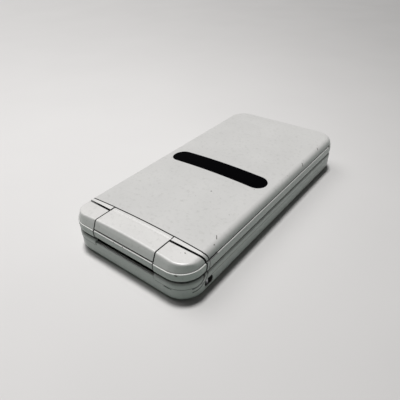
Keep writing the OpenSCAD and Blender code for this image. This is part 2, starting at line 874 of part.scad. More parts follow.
// Ring key, with a dished top
module nav_ring() {
    color(steel) translate([0, nav_y, 0]) rotate_extrude() difference() {
        translate([ring_hole_r, nav_z]) square([ring_r - ring_hole_r, nav_top - nav_z]);
        translate([(ring_hole_r + ring_r) / 2, nav_top + 11.8]) circle(12, $fn = 180);
    }
}

// Round key in the middle of the ring
module nav_centre_key() {
    color(pearl) translate([0, nav_y, 0]) intersection() {
        post(0, 0, centre_r, key_z, key_top);
        translate([0, 0, key_top - key_crown_r]) sphere(key_crown_r, $fn = 200);
    }
}

// --------------------------------------------------------------------- lid

// Screw places of the lid
module lid_screw_places() {
    for (side = [-1, 1]) {
        translate([side * lid_screw_x, lid_screw_low, 0]) children();
        translate([side * lid_screw_tip_x, lid_screw_high, 0]) children();
    }
}

// Inner shell of the lid: band, display bezel, end wall and lower barrel
module lid_inner_case() {
    color(pearl) difference() {
        union() {
            // Band and bezel
            difference() {
                intersection() {
                    round_outline(lid_z, band_z) band_profile();
                    translate([-half_w, hinge_y, 0]) cube([body_w, body_l, crown_z]);
                }
                difference() {
                    outline(wall, lid_z + plate_t, band_z + 1);
                    translate([-half_w, -half_l, 0]) cube([body_w, half_l + lid_cavity_y, crown_z]);
                }
                hinge_round(lid_end_r, -half_w - 1, half_w + 1);
            }
            // Strips beside the barrel, concentric with the hinge
            difference() {
                intersection() {
                    lid_section();
                    union() {
                        hinge_round(strip_r, -half_w, half_w);
                        translate([-half_w, hinge_y, hinge_h + 3])
                            cube([body_w, strip_end_y - hinge_y, crown_z - hinge_h]);
                    }
                    translate([-half_w, hinge_y, band_z - 1]) cube([body_w, strip_r + 1, crown_z]);
                }
                hinge_round(lid_end_r, -half_w - 1, half_w + 1);
                block(2 * cap_x, body_l, 0, crown_z + 1);
            }
            // Web and lower half of the barrel
            intersection() {
                union() {
                    hinge_round(barrel_r, -barrel_half, barrel_half);
                    translate([-barrel_half, hinge_y, lid_z])
                        cube([barrel_w, lid_cavity_y - hinge_y, band_h]);
                    translate([-barrel_half, -half_l + barrel_face, hinge_h - 1.5])
                        cube([barrel_w, hinge_back, band_z - hinge_h + 1.5]);
                }
                translate([-barrel_half, -half_l + barrel_face, 0]) cube([barrel_w, body_l / 2, band_z]);
                union() {
                    translate([-barrel_half, hinge_y + 2.8, 0]) cube([barrel_w, 20, crown_z]);
                    hinge_round(barrel_r, -barrel_half, barrel_half);
                    translate([-barrel_half, -half_l, hinge_h - 1.5]) cube([barrel_w, 10, crown_z]);
                }
            }
        }
        // Barrel bore and the slot where the flexible circuit enters the lid
        hinge_round(cartridge_r + bore_clear, -barrel_half - 1, barrel_half + 1);
        translate([-cable_l - 0.2, hinge_y, hinge_h - 1]) cube([cable_l + 0.4, 8, 0.45]);
        // Openings in the bezel
        translate([0, window_y, 0])
            plate(window_w + 0.1, window_l + 0.1, window_corner + 0.05, lid_z - 1, lid_z + plate_t + 1);
        for (x = [-4:1:4]) post(x, earpiece_y, 0.35, lid_z - 1, lid_z + plate_t + 1);
        lid_screw_places() {
            post(0, 0, screw_head_r + 0.1, lid_z - 1, lid_z + 0.55);
            post(0, 0, screw_r + 0.05, lid_z, lid_z + 2);
        }
    }
}

// Outer cover of the lid, with the opening for the outer display
module lid_outer_cover() {
    color(pearl) difference() {
        union() {
            difference() {
                union() {
                    round_outline(cover_z, edge_top) cover_profile(cover_z);
                    crown_slab();
                }
                outline(cover_inset + wall, cover_z - 1, ceiling_z);
            }
            // Tongue that centres the cover in the band
            difference() {
                outline(wall + 0.05, band_z - 0.8, cover_z + 0.5);
                outline(wall + 0.65, band_z - 1, ceiling_z);
            }
            lid_screw_places() post(0, 0, boss_r, lid_z + plate_t + 0.05, ceiling_z + 0.1);
        }
        hinge_round(cover_end_r, -half_w - 1, half_w + 1);
        translate([-half_w, -half_l - 1, 0]) cube([body_w, half_l + 1 + cover_end_y, crown_z + 1]);
        // The tongue stops at the end wall
        translate([-half_w, -half_l, 0]) cube([body_w, half_l + lid_cavity_y + 0.1, band_z + 0.05]);
        lid_screw_places() post(0, 0, screw_r, lid_z, lid_z + 4.4);
        pill(0.05, ceiling_z - 2, crown_z + 1);
    }
}

// A pill across the phone, grown by a clearance
module pill(grow, low, high) {
    r = pill_w / 2 + grow;
    translate([0, -pill_back, low]) linear_extrude(high - low) {
        square([pill_l - pill_w, 2 * r], center = true);
        for (side = [-1, 1]) translate([side * (pill_l - pill_w) / 2, 0]) circle(r);
    }
}

// Upper half of the barrel, flush with the lid
module hinge_barrel_cover() {
    groove_r = 0.9;
    groove_deep = 0.2;
    groove_back = 8.4;
    color(pearl) difference() {
        intersection() {
            union() {
                // The cap's face, turned about the axis of the crown
                translate([0, 0, crown_z - crown_r]) rotate([90, 0, 0]) rotate([0, 0, 87])
                    rotate_extrude(angle = 6, $fn = crown_fn)
                        translate([crown_r - cap_top_z, half_l - corner_r]) mirror([1, -1])
                            cap_profile(band_z - 1, cap_inset);
                intersection() {
                    under_crown();
                    translate([-barrel_half, corner_r - half_l - 0.01, cover_z])
                        cube([barrel_w, corner_r, crown_z]);
                }
            }
            translate([-barrel_half, -half_l, cover_z])
                cube([barrel_w, half_l + strip_end_y, crown_z]);
        }
        hinge_round(cartridge_r + bore_clear, -barrel_half - 1, barrel_half + 1);
        // Shallow groove that carries the line of the strips across
        translate([0, groove_back - half_l, crown_z - crown_r]) rotate([90, 0, 0]) rotate([0, 0, 87])
            rotate_extrude(angle = 6, $fn = crown_fn)
                translate([crown_r + groove_r - groove_deep, 0]) circle(groove_r);
    }
}

// Clear window of the main display, just below the face of the bezel
module main_display_window() {
    color(black) translate([0, window_y, 0])
        plate(window_w, window_l, window_corner, window_z, window_z + window_t);
}

// Main display
module main_display_module() {
    color(graphite) translate([0, window_y - 1, 0])
        plate(window_w - 2.6, window_l - 7, 0.6, inner_z, inner_z + display_t);
}

// Window of the outer display, flush with the crown
module sub_display_window() {
    color(black) intersection() {
        pill(0, ceiling_z + 0.05, crown_z + 1);
        under_crown();
    }
}

// Outer display behind its window
module sub_display_module() {
    color(graphite) translate([0, -pill_back, 0])
        plate(pill_l - 2.3, pill_w + 0.8, 0.5, sub_display_z, ceiling_z - 0.05);
}

// Board between the two displays
module lid_circuit_board() {
    color(board) translate([0, window_y - 1.5, 0])
        plate(window_w - 0.2, window_l - 8, 1, lid_board_z, lid_board_z + lid_board_t);
}

// Earpiece behind its row of holes
module earpiece_speaker() {
    color(graphite) translate([0, earpiece_y, 0]) {
        plate(earpiece_w, earpiece_l, 3, inner_z, inner_z + earpiece_t);
        block(5, 2, inner_z + earpiece_t, inner_z + earpiece_t + 0.4);
    }
}

// Two soft pads that keep the closed lid off the deck
module lid_bumpers() {
    color([0.7, 0.7, 0.7]) for (side = [-1, 1])
        post(side * bumper_x, bumper_y, bumper_r, lid_z - bumper_t, lid_z);
}

// Four screws that hold the lid's shells together
module lid_screws() {
    color(steel) lid_screw_places() difference() {
        union() {
            post(0, 0, screw_head_r, lid_z + 0.05, lid_z + 0.55);
            post(0, 0, screw_r, lid_z + 0.5, lid_z + 4.3);
        }
        for (turn = [0, 90]) rotate([0, 0, turn]) block(1.3, 0.3, lid_z - 1, lid_z + 0.25);
    }
}

base_lower_case();
base_upper_case();
battery_cover();
battery_pack();
battery_contacts();
main_circuit_board();
shield_cans();
dome_sheet();
keypad_mat();
antenna();
loudspeaker();
vibration_motor();
microphone();
camera_module();
camera_window();
port_socket();
port_cover();
side_key();
strap_post();
base_screws();
hinge_cap_left();
hinge_cap_right();
hinge_shaft();
hinge_dummy_pin();
key_1();
key_2();
key_3();
key_4();
key_5();
key_6();
key_7();
key_8();
key_9();
key_star();
key_0();
key_hash();
key_call();
key_clear_back();
key_end();
soft_key_left_upper();
soft_key_left_lower();
soft_key_right_upper();
soft_key_right_lower();
nav_carrier();
nav_ring();
nav_centre_key();
lid_inner_case();
lid_outer_cover();
hinge_barrel_cover();
hinge_cartridge();
hinge_bush();
hinge_flex_cable();
main_display_window();
main_display_module();
sub_display_window();
sub_display_module();
lid_circuit_board();
earpiece_speaker();
lid_bumpers();
lid_screws();
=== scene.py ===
"""Looks of a closed clamshell mobile phone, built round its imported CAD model."""

import json
import math

import bpy
import numpy as np
from bpy.props import FloatProperty, FloatVectorProperty, PointerProperty
from bpy.types import Operator, Panel, PropertyGroup
from mathutils import Matrix, Vector


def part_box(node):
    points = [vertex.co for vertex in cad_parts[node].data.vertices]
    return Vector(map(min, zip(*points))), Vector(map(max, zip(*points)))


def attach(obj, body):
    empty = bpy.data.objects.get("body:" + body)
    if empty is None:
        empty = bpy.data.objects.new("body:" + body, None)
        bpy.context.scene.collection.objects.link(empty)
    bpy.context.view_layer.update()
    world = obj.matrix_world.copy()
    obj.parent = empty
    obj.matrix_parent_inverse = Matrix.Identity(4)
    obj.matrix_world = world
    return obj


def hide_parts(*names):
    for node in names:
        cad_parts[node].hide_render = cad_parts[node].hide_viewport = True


bl_info = {
    "name": "Clamshell phone",
    "version": (1, 0, 0),
    "blender": (4, 5, 0),
    "location": "View3D > Sidebar > Phone",
    "description": "Dresses the CAD model of a clamshell phone and sets it in a plain studio",
    "category": "Object",
}

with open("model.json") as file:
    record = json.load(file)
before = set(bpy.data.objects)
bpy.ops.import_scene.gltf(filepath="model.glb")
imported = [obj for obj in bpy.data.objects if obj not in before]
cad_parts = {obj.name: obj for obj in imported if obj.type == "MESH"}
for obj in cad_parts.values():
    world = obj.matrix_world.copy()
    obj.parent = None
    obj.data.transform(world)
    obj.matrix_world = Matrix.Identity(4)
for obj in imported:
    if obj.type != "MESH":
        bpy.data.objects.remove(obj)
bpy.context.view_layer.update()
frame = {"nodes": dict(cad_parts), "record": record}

MM = 0.001


def box_mm(node):
    """Lowest and highest corner of a CAD node in millimetres."""
    low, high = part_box(node)
    return [value / MM for value in low], [value / MM for value in high]


# The outer form of the phone, in millimetres, as its solids have it
HALF_W = box_mm("base_upper_case")[1][0]
HALF_L = box_mm("base_upper_case")[1][1]
CORNER_R = 7.7
CROWN_R = 298.5
CROWN_Z = box_mm("lid_outer_cover")[1][2]
BAND_TOP = 11.0
PARTING_H = 0.25
COVER_INSET = 0.4
COVER_R = 2.3
HINGE_Y = 3.8 - HALF_L
HINGE_Z = 10.4
CAP_X = box_mm("hinge_cap_right")[0][0]
CAP_R = 5.43
CAP_GAP = 0.45
STRIP_R = CAP_R + CAP_GAP + 1.02
STRIP_END_Y = 9.85 - HALF_L
STRIP_TOP_Z = HINGE_Z + 3
CAP_FOOT_Z = box_mm("hinge_cap_right")[0][2]
CAP_FOOT_R = 1.3
CAP_SLOPE = math.radians(24.3)
CAP_INSET = 0.3
SECTION_R = 0.3
# The steep face stands up more round the corners, by this share of its slope
CORNER_STEEP = 0.5
LEDGE_R = 0.15
BORE_R = 1.2
SHAFT_END = box_mm("hinge_shaft")[1][0]
BARREL_LOW, BARREL_HIGH = box_mm("hinge_barrel_cover")
BARREL_BORE_R = 2.52
BARREL_FOOT_R = 0.08
GROOVE_Y = 8.4 - HALF_L
GROOVE_R = 0.9
GROOVE_DEEP = 0.2
PARTING_Z = 5
STRAP_Y = 10.2 - HALF_L
STRAP_Z = 3.5
KEYPAD_NAV = [(low + high) / 2 for low, high in zip(*box_mm("nav_ring"))]

# The camera stands where the photograph was taken from
CAMERA_AZIMUTH = math.radians(38.679)
CAMERA_ELEVATION = math.radians(34.842)
CAMERA_ROLL = math.radians(-1.952)
CAMERA_DISTANCE = 155.079
CAMERA_TARGET = (-5.442, -6.202, 0)
CAMERA_FOCAL_PIXELS = 394.283
PICTURE_PIXELS = 400
SENSOR_WIDTH = 36
CAMERA_CLIP = (0.005, 20)

# Painted pool of light: the floor's colour is palest under the lamp and fades from there: its reach in
# metres, and how it falls towards +X, towards +Y and with the square of the distance
POOL = 0.1
POOL_FALL = (0.19, 0.05, 0.112)
# How soon the fall evens out with the square of the distance
POOL_EVEN = 0.25
# Shares of the backdrop's colour: the least and the most on the floor, and what is behind it
POOL_EDGE = 0.4
POOL_PEAK = 1.15
POOL_BEHIND = 0.72


# ------------------------------------------------------------------ shaders


class Value:
    """One output of a shader node. Arithmetic on it adds Math nodes to its tree."""

    def __init__(self, nodes, socket):
        self.nodes = nodes
        self.socket = socket

    def maths(self, operation, *terms):
        """A Math node of that operation on these numbers or values."""
        return self.nodes.node("ShaderNodeMath", {"operation": operation}, dict(enumerate(terms)))

    def __add__(self, other):
        return self.maths("ADD", self, other)

    def __sub__(self, other):
        return self.maths("SUBTRACT", self, other)

    def __rsub__(self, other):
        return self.maths("SUBTRACT", other, self)

    def __mul__(self, other):
        return self.maths("MULTIPLY", self, other)

    def __truediv__(self, other):
        return self.maths("DIVIDE", self, other)

    def __pow__(self, other):
        return self.maths("POWER", self, other)

    def __abs__(self):
        return self.maths("ABSOLUTE", self)

    def __gt__(self, other):
        return self.maths("GREATER_THAN", self, other)

    def __lt__(self, other):
        return self.maths("LESS_THAN", self, other)

    __radd__ = __add__
    __rmul__ = __mul__

    def ramp(self, low, high):
        """0 below low and 1 above high, with a smooth step between them."""
        return self.nodes.node(
            "ShaderNodeMapRange",
            {"interpolation_type": "SMOOTHSTEP"},
            {"Value": self, "From Min": low, "From Max": high},
        )

    def most(self, other):
        """The larger of two values."""
        return self.maths("MAXIMUM", self, other)


class Nodes:
    """The emptied node tree of a material or of the world, while nodes are added to it."""

    def __init__(self, owner):
        owner.use_nodes = True
        self.tree = owner.node_tree
        self.tree.nodes.clear()

    def node(self, kind, settings=None, inputs=None, output=0):
        """Adds a node, sets it, then fills its sockets with numbers, colours or values."""
        made = self.tree.nodes.new(kind)
        for name, setting in (settings or {}).items():
            setattr(made, name, setting)
        for name, value in (inputs or {}).items():
            if isinstance(value, Value):
                self.tree.links.new(value.socket, made.inputs[name])
            else:
                made.inputs[name].default_value = value
        return Value(self, made.outputs[output]) if len(made.outputs) else None

    def seen(self):
        """1 for what the camera sees, also in a mirror or through glass."""
        straight, mirrored, through = (
            self.node("ShaderNodeLightPath", output=name)
            for name in ("Is Camera Ray", "Is Glossy Ray", "Is Transmission Ray")
        )
        return straight.most(mirrored).most(through)


class Finish(Nodes):
    """A procedural material while it is made: its shader, and where on the phone a point is."""

    def __init__(self, name, **constants):
        self.material = bpy.data.materials.new(name)
        super().__init__(self.material)
        shader = self.node("ShaderNodeBsdfPrincipled")
        self.node("ShaderNodeOutputMaterial", inputs={"Surface": shader})
        self.sockets = shader.socket.node.inputs
        for socket, value in constants.items():
            self.sockets[socket.replace("_", " ")].default_value = value
        place = self.node("ShaderNodeTexCoord", output="Object")
        self.place = self.vector("SCALE", place, Scale=1 / MM)
        self.x, self.y, self.z = (
            self.node("ShaderNodeSeparateXYZ", inputs={0: self.place}, output=axis) for axis in "XYZ"
        )

    def noise(self, scale, detail=2, roughness=0.5, stretch=None):
        """Noise with that many features to the millimetre, stretched by a share on each axis."""
        where = self.place
        if stretch:
            where = self.vector("MULTIPLY", where, stretch)
        return self.node(
            "ShaderNodeTexNoise",
            inputs={"Vector": where, "Scale": scale, "Detail": detail, "Roughness": roughness},
        )

    def mix(self, share, first, second):
        """A colour between two colours."""
        return self.node("ShaderNodeMix", {"data_type": "RGBA"}, {0: share, 6: first, 7: second}, output=2)

    def waves(self, axis, scale, **more):
        """Soft bands that repeat along one axis."""
        inputs = {"Vector": self.place, "Scale": scale, **more}
        return self.node("ShaderNodeTexWave", {"bands_direction": axis}, inputs)

    def soft_edges(self, radius):
        """A normal that rounds each edge by a radius in millimetres."""
        return self.node("ShaderNodeBevel", {"samples": 4}, {"Radius": radius * MM})

    def vector(self, operation, *terms, output=0, **more):
        """A Vector Math node of that operation on these places."""
        inputs = {**dict(enumerate(terms)), **more}
        return self.node("ShaderNodeVectorMath", {"operation": operation}, inputs, output)

    def stroke(self, start, end, half, ragged):
        """1 within half a width of a straight line between two points, 0 away from it."""
        along = [b - a for a, b in zip(start, end)]
        length = sum(step * step for step in along)
        from_start = self.vector("SUBTRACT", self.place, start)
        share = self.vector("DOT_PRODUCT", from_start, along, output="Value") / length
        share = self.node("ShaderNodeClamp", inputs={"Value": share})
        nearest = self.vector("SCALE", along, Scale=share)
        away = self.vector("LENGTH", self.vector("SUBTRACT", from_start, nearest), output="Value")
        return 1 - (away + ragged).ramp(half * 0.6, half * 1.4)

    def give(self, **inputs):
        """Links values to the shader's own sockets."""
        for name, value in inputs.items():
            self.tree.links.new(value.socket, self.sockets[name.replace("_", " ")])

    def bump(self, height, depth, strength=1.0, normal=None):
        """Feeds a height, in parts of a depth in millimetres, to the shader's normal."""
        inputs = {"Height": height, "Distance": depth * MM, "Strength": strength}
        if normal:
            inputs["Normal"] = normal
        self.give(Normal=self.node("ShaderNodeBump", inputs=inputs))


def dress(finish, *nodes):
    """Gives a finish to all the faces of some CAD nodes."""
    for name in nodes:
        slots = frame["nodes"][name].data.materials
        slots.clear()
        slots.append(finish.material)


def tint(colour, share):
    """A colour made darker or lighter by a share, with full alpha."""
    return tuple(channel * share for channel in colour) + (1,)


# Painted shade, with some dirt, in the seams all round: height, half the width in millimetres, and strength
LEDGE_SEAM = (BAND_TOP + PARTING_H * 0.8, 0.13, 0.95)
LID_SEAM = (7.42, 0.3, 0.85)
PARTING_SEAM = (PARTING_Z + 0.04, 0.17, 0.9)
# The well behind the gap below the hinge, painted dark as shade
WELL_X = 13.1
WELL_Y = 1.15 - HALF_L
WELL_LOW = 5.2
WELL_HIGH = 8.2
RIM_DEEP = 2.5
# How far the shade of a gap reaches from its middle, and past the gap's own edges
GAP_SHADE = 0.23
GAP_SPILL = 0.1
# Gap between a hinge cap and the barrel, and how far short of the cap the shade beside the barrel begins
BARREL_GAP = 0.25
BESIDE_BARREL = 0.2
# How dark the painted shade in the seam between barrel and lid is, beside that of the strips
BARREL_SEAM = 0.45
# The barrel's underside is painted in shade up to this far above the well, by this share
WELL_DIM = 0.9
UNDER_SHADE = 0.8
# Height at which the lid begins at the hinge end
LID_Z = 7.55
# Shares of the full shade: in the gaps, in the eyelet and in the recess, and what the caps' ledge lacks
GAP_DARK = 0.9
EYELET_DARK = 0.94
RECESS_DARK = 0.8
CAP_LEDGE_UNSHADED = 0.65
# Heights between which the darker, greener paint on the rounded edges of the lid and the hinge fades out:
# painted shade, with some dirt
SOIL_AND_SHADE_Z = (12.6, 13.6)
# Darkened strip under the near end of the cover, on the strap's side: along the phone, and in height
RECESS_Y = (-41.6, -36.6)
RECESS_Z = (10.9, 11.5)
# Half the length and half the height of the strap eyelet, and how far in its shade begins
EYELET_HALF = (2.1, 1.4)
EYELET_IN = 0.35

# Where paint is lost on the shell: its two ends, half its width in millimetres, and strength
CHIPS = (
    ((23.1, 34.82, 13.68), (23.8, 33.97, 13.27), 0.15, 1),
    ((23.44, 20.35, 13.53), (24.17, 19.69, 12.86), 0.17, 1),
    ((23.34, 8.93, 13.58), (23.3, 8.8, 13.6), 0.1, 0.8),
    ((22.08, -33.36, 13.85), (22.92, -34.54, 13.74), 0.15, 0.9),
    ((23.67, -36.75, 13.38), (23.6, -36.6, 13.42), 0.17, 1),
    ((7.56, -16.24, 14.57), (7.5, -16.1, 14.57), 0.2, 1),
    ((4.98, -21.45, 14.62), (4.9, -21.4, 14.62), 0.1, 0.7),
    ((19.64, -23.13, 14.02), (19.5, -23.0, 14.02), 0.11, 0.8),
    ((18.57, -6.32, 14.09), (18.5, -6.2, 14.09), 0.1, 0.7),
    ((18.46, -45.48, 14.1), (18.4, -45.4, 14.1), 0.1, 0.5),
    ((19.55, -44.76, 14.03), (19.4, -44.7, 14.03), 0.2, 0.9),
    ((20.65, -50.7, 10.7), (20.9, -50.45, 10.6), 0.3, 0.9),
    ((-4.64, -49.88, 12.98), (-4.33, -50.36, 12.05), 0.09, 0.8),
    ((-3.44, -51.3, 10.95), (-3.3, -51.3, 10.95), 0.16, 0.9),
    ((0.42, -51.2, 10.95), (0.6, -51.2, 10.95), 0.16, 0.9),
    ((25, 38.7, 10.9), (25, 38.6, 10.9), 0.15, 0.8),
    ((24.3, 44.8, 11.1), (25, 43.3, 10.9), 0.3, 0.9),
    ((-19, -51.2, 5.2), (-18.6, -51.2, 5.2), 0.25, 0.7),
)


def seam(finish, height, half, strength):
    """A dark line of painted shade and dirt at one height, all round the phone."""
    return (1 - abs(finish.z - height).ramp(half * 0.6, half * 1.4)) * strength


def hinge_gaps(finish):
    """Painted shade in the gaps round the hinge: beside the caps, the strips and the barrel, and below it.
    """
    y, z = finish.y - HINGE_Y, finish.z - HINGE_Z
    away = (y * y + z * z) ** 0.5
    wide = abs(finish.x)
    beside = wide > CAP_X - BESIDE_BARREL
    ahead = finish.y > HINGE_Y
    above = finish.z > STRIP_TOP_Z
    cap_gap = (away > CAP_R - GAP_SPILL) * (away < CAP_R + CAP_GAP + GAP_SPILL) * beside * ahead
    under = (wide < CAP_X) * (finish.z > WELL_LOW) * (finish.z < WELL_HIGH + WELL_DIM) * ahead
    round_gap = (abs(away - STRIP_R - PARTING_H / 2) < GAP_SHADE) * (1 - above) * beside
    flat_gap = (abs(finish.y - STRIP_END_Y - PARTING_H / 2) < GAP_SHADE) * above
    flat_gap = flat_gap * (BARREL_SEAM + beside * (1 - BARREL_SEAM))
    end_gap = (abs(wide - CAP_X + BARREL_GAP / 2) < GAP_SHADE) * (finish.z > LID_Z)
    end_gap = end_gap * (1 - ahead * (1 - above)) * (finish.y < STRIP_END_Y)
    return cap_gap.most(under * UNDER_SHADE).most((round_gap + flat_gap) * ahead).most(end_gap)


def dark_places(finish):
    """Where the shell is darkened: painted shade, with some dirt in the seams, in the seams, gaps, the well
    and the strap eyelet, and a dark strip under the cover's near end.
    """
    rim = (abs(finish.x) < WELL_X) * (finish.y < RIM_DEEP - HALF_L)
    caps = (finish.y < HINGE_Y + CAP_R / 2) * (abs(finish.x) > CAP_X)
    lines = seam(finish, *LEDGE_SEAM) * (1 - caps * CAP_LEDGE_UNSHADED)
    lines = lines.most(seam(finish, *LID_SEAM))
    lines = lines.most(seam(finish, *PARTING_SEAM) * (1 - rim))
    well = (finish.y > WELL_Y) * (abs(finish.x) < WELL_X) * (finish.z > WELL_LOW) * (finish.z < WELL_HIGH)
    eyelet = (abs(finish.y - STRAP_Y) < EYELET_HALF[0]) * (abs(finish.z - STRAP_Z) < EYELET_HALF[1])
    eyelet = eyelet * (finish.x < HALF_W - EYELET_IN) * (finish.x > 0)
    recess = (finish.y > RECESS_Y[0]) * (finish.y < RECESS_Y[1]) * (finish.x > 0)
    recess = recess * (finish.z > RECESS_Z[0]) * (finish.z < RECESS_Z[1])
    shade = well.most(eyelet * EYELET_DARK).most(hinge_gaps(finish) * GAP_DARK).most(recess * RECESS_DARK)
    return lines, shade


def pearl_paint(name, colour, colours, soiled_and_shaded=0.0):
    """Silver pearl paint, with worn spots where the real one has them, and painted shade, with some dirt,
    low on the rounded edge.

    Painted shade darkens its seams, gaps, the hinge's well and the strap eyelet. The strips beside the
    barrel, which stand above the rest of their shell, get a painted highlight that makes them as light as
    the hinge.
    """
    finish = Finish(name, Coat_Weight=0.4, Coat_Roughness=0.27)
    flakes = finish.noise(9, detail=1)
    cloud = finish.noise(0.09, detail=3)
    grime = finish.noise(0.7, detail=4, roughness=0.65)
    ragged = (finish.noise(3.2, detail=3) - 0.5) * 0.3
    tone = (flakes - 0.5) * 0.16 + (cloud - 0.5) * 0.3 + 0.5
    paint = finish.mix(tone.ramp(0.3, 0.7), tint(colour, 0.92), tint(colour, 1.06))
    # Painted highlight: the strips beside the barrel, above the rest of their shell, are painted as light
    # as the hinge
    if not soiled_and_shaded:
        paint = finish.mix((finish.z > STRIP_TOP_Z) * 0.9, paint, tint(colours.hinge_paint, 1.06))
    paint = finish.mix(grime.ramp(0.5, 0.78) * 0.24, paint, tint(colours.grime, 1))
    # Painted shade, with some dirt: darker, greener paint low on the rounded edge
    if soiled_and_shaded:
        edge = (1 - finish.z.ramp(*SOIL_AND_SHADE_Z)) * soiled_and_shaded
        paint = finish.mix(edge * (cloud * 0.5 + 0.75), paint, tint(colours.soil_and_shade, 1))
    # Painted shade, with some dirt in the seams: seams, gaps, the well, the eyelet and the strip under the
    # cover's near end go towards the shade colour
    lines, shade = dark_places(finish)
    paint = finish.mix((lines * (grime * 0.5 + 0.65)).most(shade), paint, tint(colours.shade, 1))
    lost = None
    for start, end, half, strength in CHIPS:
        one = finish.stroke(start, end, half, ragged) * strength
        lost = one if lost is None else lost.most(one)
    specks = finish.noise(1.6, detail=2, roughness=0.7).ramp(0.745, 0.775)
    lost = lost.most(specks * 0.7)
    finish.give(
        Base_Color=finish.mix(lost, paint, tint(colours.chip, 1)),
        Roughness=(grime - 0.5) * 0.1 + 0.4 + lost * 0.3,
    )
    grain = finish.noise(2.5, detail=2) * 0.5 + flakes * 0.3 - lost * 2
    finish.bump(grain, depth=0.004, strength=0.6, normal=finish.soft_edges(0.12))
    return finish


def key_plastic(colours):
    """Satin keycaps, a little milky, with a fine moulded grain."""
    finish = Finish("key_plastic", Coat_Weight=0.1)
    cloud = finish.noise(0.4, detail=3)
    worn = finish.noise(1.8, detail=4, roughness=0.6)
    finish.give(
        Base_Color=finish.mix(cloud, tint(colours.key, 0.93), tint(colours.key, 1.03)),
        Roughness=worn * 0.16 + 0.3,
    )
    finish.bump(finish.noise(7), depth=0.003, strength=0.5, normal=finish.soft_edges(0.15))
    return finish


def outer_window(colours):
    """Polished black window of the outer display, with dust and fine smudges."""
    finish = Finish("outer_window", Specular_IOR_Level=0.005)
    dust = finish.noise(5, detail=2, roughness=0.7).ramp(0.72, 0.78)
    smudge = finish.noise(0.25, detail=4).ramp(0.35, 0.75)
    finish.give(
        Base_Color=finish.mix(dust * 0.25, tint(colours.window, 1), tint(colours.grime, 1)),
        Roughness=smudge * 0.12 + 0.08 + dust * 0.2,
    )
    finish.bump(finish.noise(0.5), depth=0.002, strength=0.3)
    return finish


def main_window(colours):
    """Clear window with a black printed border, and the dark panel seen through it."""
    finish = Finish("main_window", Specular_IOR_Level=0.4)
    low, high = box_mm("main_display_module")
    margin_x, margin_y = 1.5, 2.5
    centre_y = (low[1] + high[1]) / 2
    half_y = (high[1] - low[1]) / 2
    inside = (abs(finish.x) < high[0] - margin_x) * (abs(finish.y - centre_y) < half_y - margin_y)
    smudge = finish.noise(0.12, detail=4).ramp(0.4, 0.75)
    shade = finish.noise(0.03, detail=1)
    panel = finish.mix(shade, tint(colours.panel, 0.85), tint(colours.panel, 1.15))
    finish.give(
        Base_Color=finish.mix(inside, tint(colours.window, 1), panel),
        Roughness=smudge * 0.1 + 0.06,
    )
    finish.bump(finish.noise(0.3), depth=0.002, strength=0.3)
    return finish


def brushed_steel(name, colour, along, roughness=0.28):
    """Metal drawn or ground along one direction, which has a small share of the noise."""
    finish = Finish(name, Metallic=1.0)
    lines = finish.noise(6, detail=3, stretch=along)
    cloud = finish.noise(0.8, detail=2)
    finish.give(
        Base_Color=finish.mix(lines * 0.6 + cloud * 0.4, tint(colour, 0.85), tint(colour, 1.08)),
        Roughness=lines * 0.18 + roughness - 0.06,
    )
    finish.bump(lines, depth=0.004, strength=0.6)
    return finish


def spun_metal(colours):
    """Plated ring key, turned round its own middle."""
    finish = Finish("spun_metal", Metallic=1.0)
    round_x, round_y = finish.x - KEYPAD_NAV[0], finish.y - KEYPAD_NAV[1]
    radius = (round_x * round_x + round_y * round_y) ** 0.5
    rings = finish.node(
        "ShaderNodeTexNoise", {"noise_dimensions": "1D"}, {"W": radius, "Scale": 9.0, "Detail": 3.0}
    )
    cloud = finish.noise(0.5)
    finish.give(
        Base_Color=finish.mix(
            rings * 0.5 + cloud * 0.5, tint(colours.plating, 0.85), tint(colours.plating, 1.05)
        ),
        Roughness=rings * 0.15 + 0.2,
    )
    finish.bump(rings, depth=0.006, strength=0.5)
    return finish


def solder_mask(colours):
    """Green board with pale traces and small pads."""
    finish = Finish("solder_mask", Specular_IOR_Level=0.5)
    across = finish.waves("X", 0.35, Distortion=6.0, Detail=2.0)
    along = finish.waves("Y", 0.25, Distortion=9.0, Detail=2.0)
    traces = across.ramp(0.86, 0.93).most(along.ramp(0.88, 0.94))
    cells = finish.node(
        "ShaderNodeTexVoronoi",
        inputs={"Vector": finish.place, "Scale": 0.45, "Randomness": 1.0},
        output="Distance",
    )
    pads = 1 - cells.ramp(0.16, 0.2)
    masked = finish.mix(traces * 0.6, tint(colours.board, 1), tint(colours.board, 1.9))
    finish.give(
        Base_Color=finish.mix(pads, masked, tint(colours.tin, 1)),
        Metallic=pads,
        Roughness=0.42 - pads * 0.1 + traces * 0.05,
    )
    finish.bump(traces + pads, depth=0.03, strength=0.6)
    return finish


def gold_plate(colours):
    """Gold plated contacts, a little rubbed."""
    finish = Finish("gold_plate", Metallic=1.0)
    rub = finish.noise(2.2, detail=4)
    finish.give(
        Base_Color=finish.mix(rub, tint(colours.gold, 0.8), tint(colours.gold, 1.1)),
        Roughness=rub * 0.2 + 0.2,
    )
    finish.bump(finish.noise(6), depth=0.003, strength=0.5)
    return finish


def battery_film(colours):
    """Dark shrink film on the cell, with soft wrinkles."""
    finish = Finish("battery_film", Coat_Weight=0.2)
    wrinkle = finish.noise(0.5, detail=4, stretch=(0.2, 1.4, 1))
    fleck = finish.noise(6)
    finish.give(
        Base_Color=finish.mix(fleck, tint(colours.graphite, 0.85), tint(colours.graphite, 1.2)),
        Roughness=wrinkle * 0.2 + 0.4,
    )
    finish.bump(wrinkle, depth=0.08, strength=0.5)
    return finish


